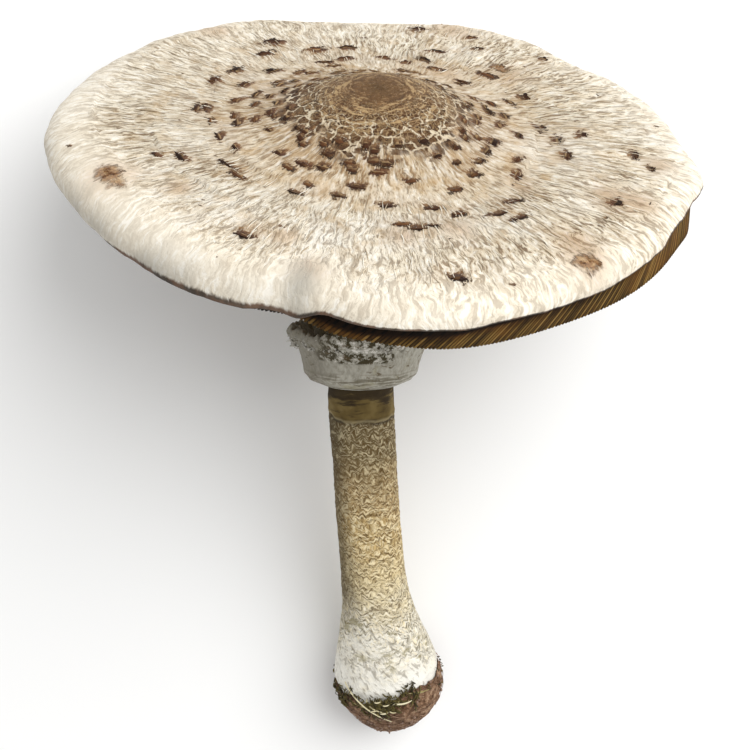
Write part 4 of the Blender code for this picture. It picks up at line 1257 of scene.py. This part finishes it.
def make_plants():
    """Moss, fine roots, grass and straw between the earth and the bulb, mostly at the front."""
    chance = np.random.default_rng(29)

    def scatter(name, bearing, level, spans, colours, **form):
        shape = [chance.uniform(low, high, len(bearing)) for low, high in spans]
        tone = chance.uniform(0, 1, len(bearing))
        bulb_strands(name, bearing, level, shape, tone, colours, **form)

    clumps = ((-97, 12, 260), (-66, 5, 30), (-150, 12, 80))
    bearing = np.concatenate([chance.normal(*clump) for clump in clumps] + [chance.uniform(0, 360, 50)])
    level = soil_line(bearing) + chance.normal(-0.9, 1.9, len(bearing))
    scatter("moss_strands", bearing, level, ((-7, 7), (-2.6, 2.6), (0.1, 0.9), (0.12, 0.32)),
            ("2A2410", "6B5F30"))
    bearing = chance.uniform(0, 360, 380)
    level = 3.0 + (soil_line(bearing) - 4.0) * chance.uniform(0, 1, len(bearing)) ** 0.7
    scatter("root_hairs", bearing, level, ((-16, 16), (-2.4, 2.4), (0.02, 0.25), (0.06, 0.15)),
            ("5A3D2B", "B8967A"), sides=3)
    bearing = chance.normal(-92, 16, 16)
    level = soil_line(bearing) + chance.normal(-1.0, 1.8, len(bearing))
    scatter("dry_grass", bearing, level, ((-24, 24), (-2.0, 2.0), (0.2, 0.7), (0.10, 0.22)),
            ("A89A60", "E6DDB4"), steps=8, flat=0.4)
    bearing, level, *shape, tone = STRAW.T
    bulb_strands("straw", bearing, level, shape, tone, ("B3A26C", "EFE6C4"), steps=12, flat=0.5)


# ---------------------------------------------------------------- stage
def link(name, data):
    """A new object in the scene."""
    item = bpy.data.objects.new(name, data)
    bpy.context.collection.objects.link(item)
    return item


def make_stage():
    """The floor, the lights and the camera, which looks down on the mushroom from its front."""
    half, cuts = 6.0, 25
    x, y = np.meshgrid(np.linspace(-half, half, cuts), np.linspace(-half, half, cuts), indexing="ij")
    index = np.arange(cuts * cuts).reshape(cuts, cuts)
    quads = np.stack([index[:-1, :-1], index[1:, :-1], index[1:, 1:], index[:-1, 1:]], -1).reshape(-1, 4)
    mesh = bpy.data.meshes.new("floor")
    mesh.from_pydata(np.stack([x, y, 0 * x], axis=-1).reshape(-1, 3).tolist(), [], quads.tolist())
    mesh.materials.append(floor_finish())
    link("floor", mesh)

    scene = bpy.context.scene
    scene.world = bpy.data.worlds.new("studio")
    scene.world.use_nodes = True
    sky = scene.world.node_tree.nodes["Background"].inputs
    sky["Color"].default_value = (1.0, 1.0, 1.0, 1.0)
    sky["Strength"].default_value = WORLD_LIGHT
    middle = lay_down(np.array([0.0, 0.0, 140.0]))
    for name, direction, distance, width, power in LAMPS:
        lamp = bpy.data.lights.new(name, "AREA")
        lamp.shape = "DISK"
        lamp.size = width
        lamp.energy = power
        toward = LAY_AXES @ np.array(direction)
        toward /= np.linalg.norm(toward)
        holder = link(name, lamp)
        holder.location = middle + toward * distance
        holder.rotation_euler = Vector(toward.tolist()).to_track_quat("Z", "Y").to_euler()

    lens = bpy.data.cameras.new("camera")
    lens.angle = math.radians(EYE_ANGLE)
    lens.clip_start = 0.01
    matrix = np.eye(4)
    matrix[:3, :3] = LAY_AXES @ turn_about(0, 90.0 - EYE_ELEVATION)
    matrix[:3, 3] = (LAY_AXES @ np.array(EYE) + REST_PLACE) * MM
    scene.camera = link("camera", lens)
    scene.camera.matrix_world = Matrix(matrix.tolist())
    scene.view_settings.view_transform = "Standard"


def main():
    """Builds every piece, then the stage."""
    places = scale_places()
    make_cap_skin(places)
    flaked = places[places[:, 2] > FLAKE_LEAST]
    flaked[:, 1] += FLAKE_MOVE * flaked[:, 3]
    make_scales(flaked * np.array(FLAKE_SIZE))
    make_cap_fibres()
    make_gills()
    make_stem()
    make_ring()
    make_ring_fibres()
    make_soil()
    make_crumbs()
    make_plants()
    make_stage()


main()
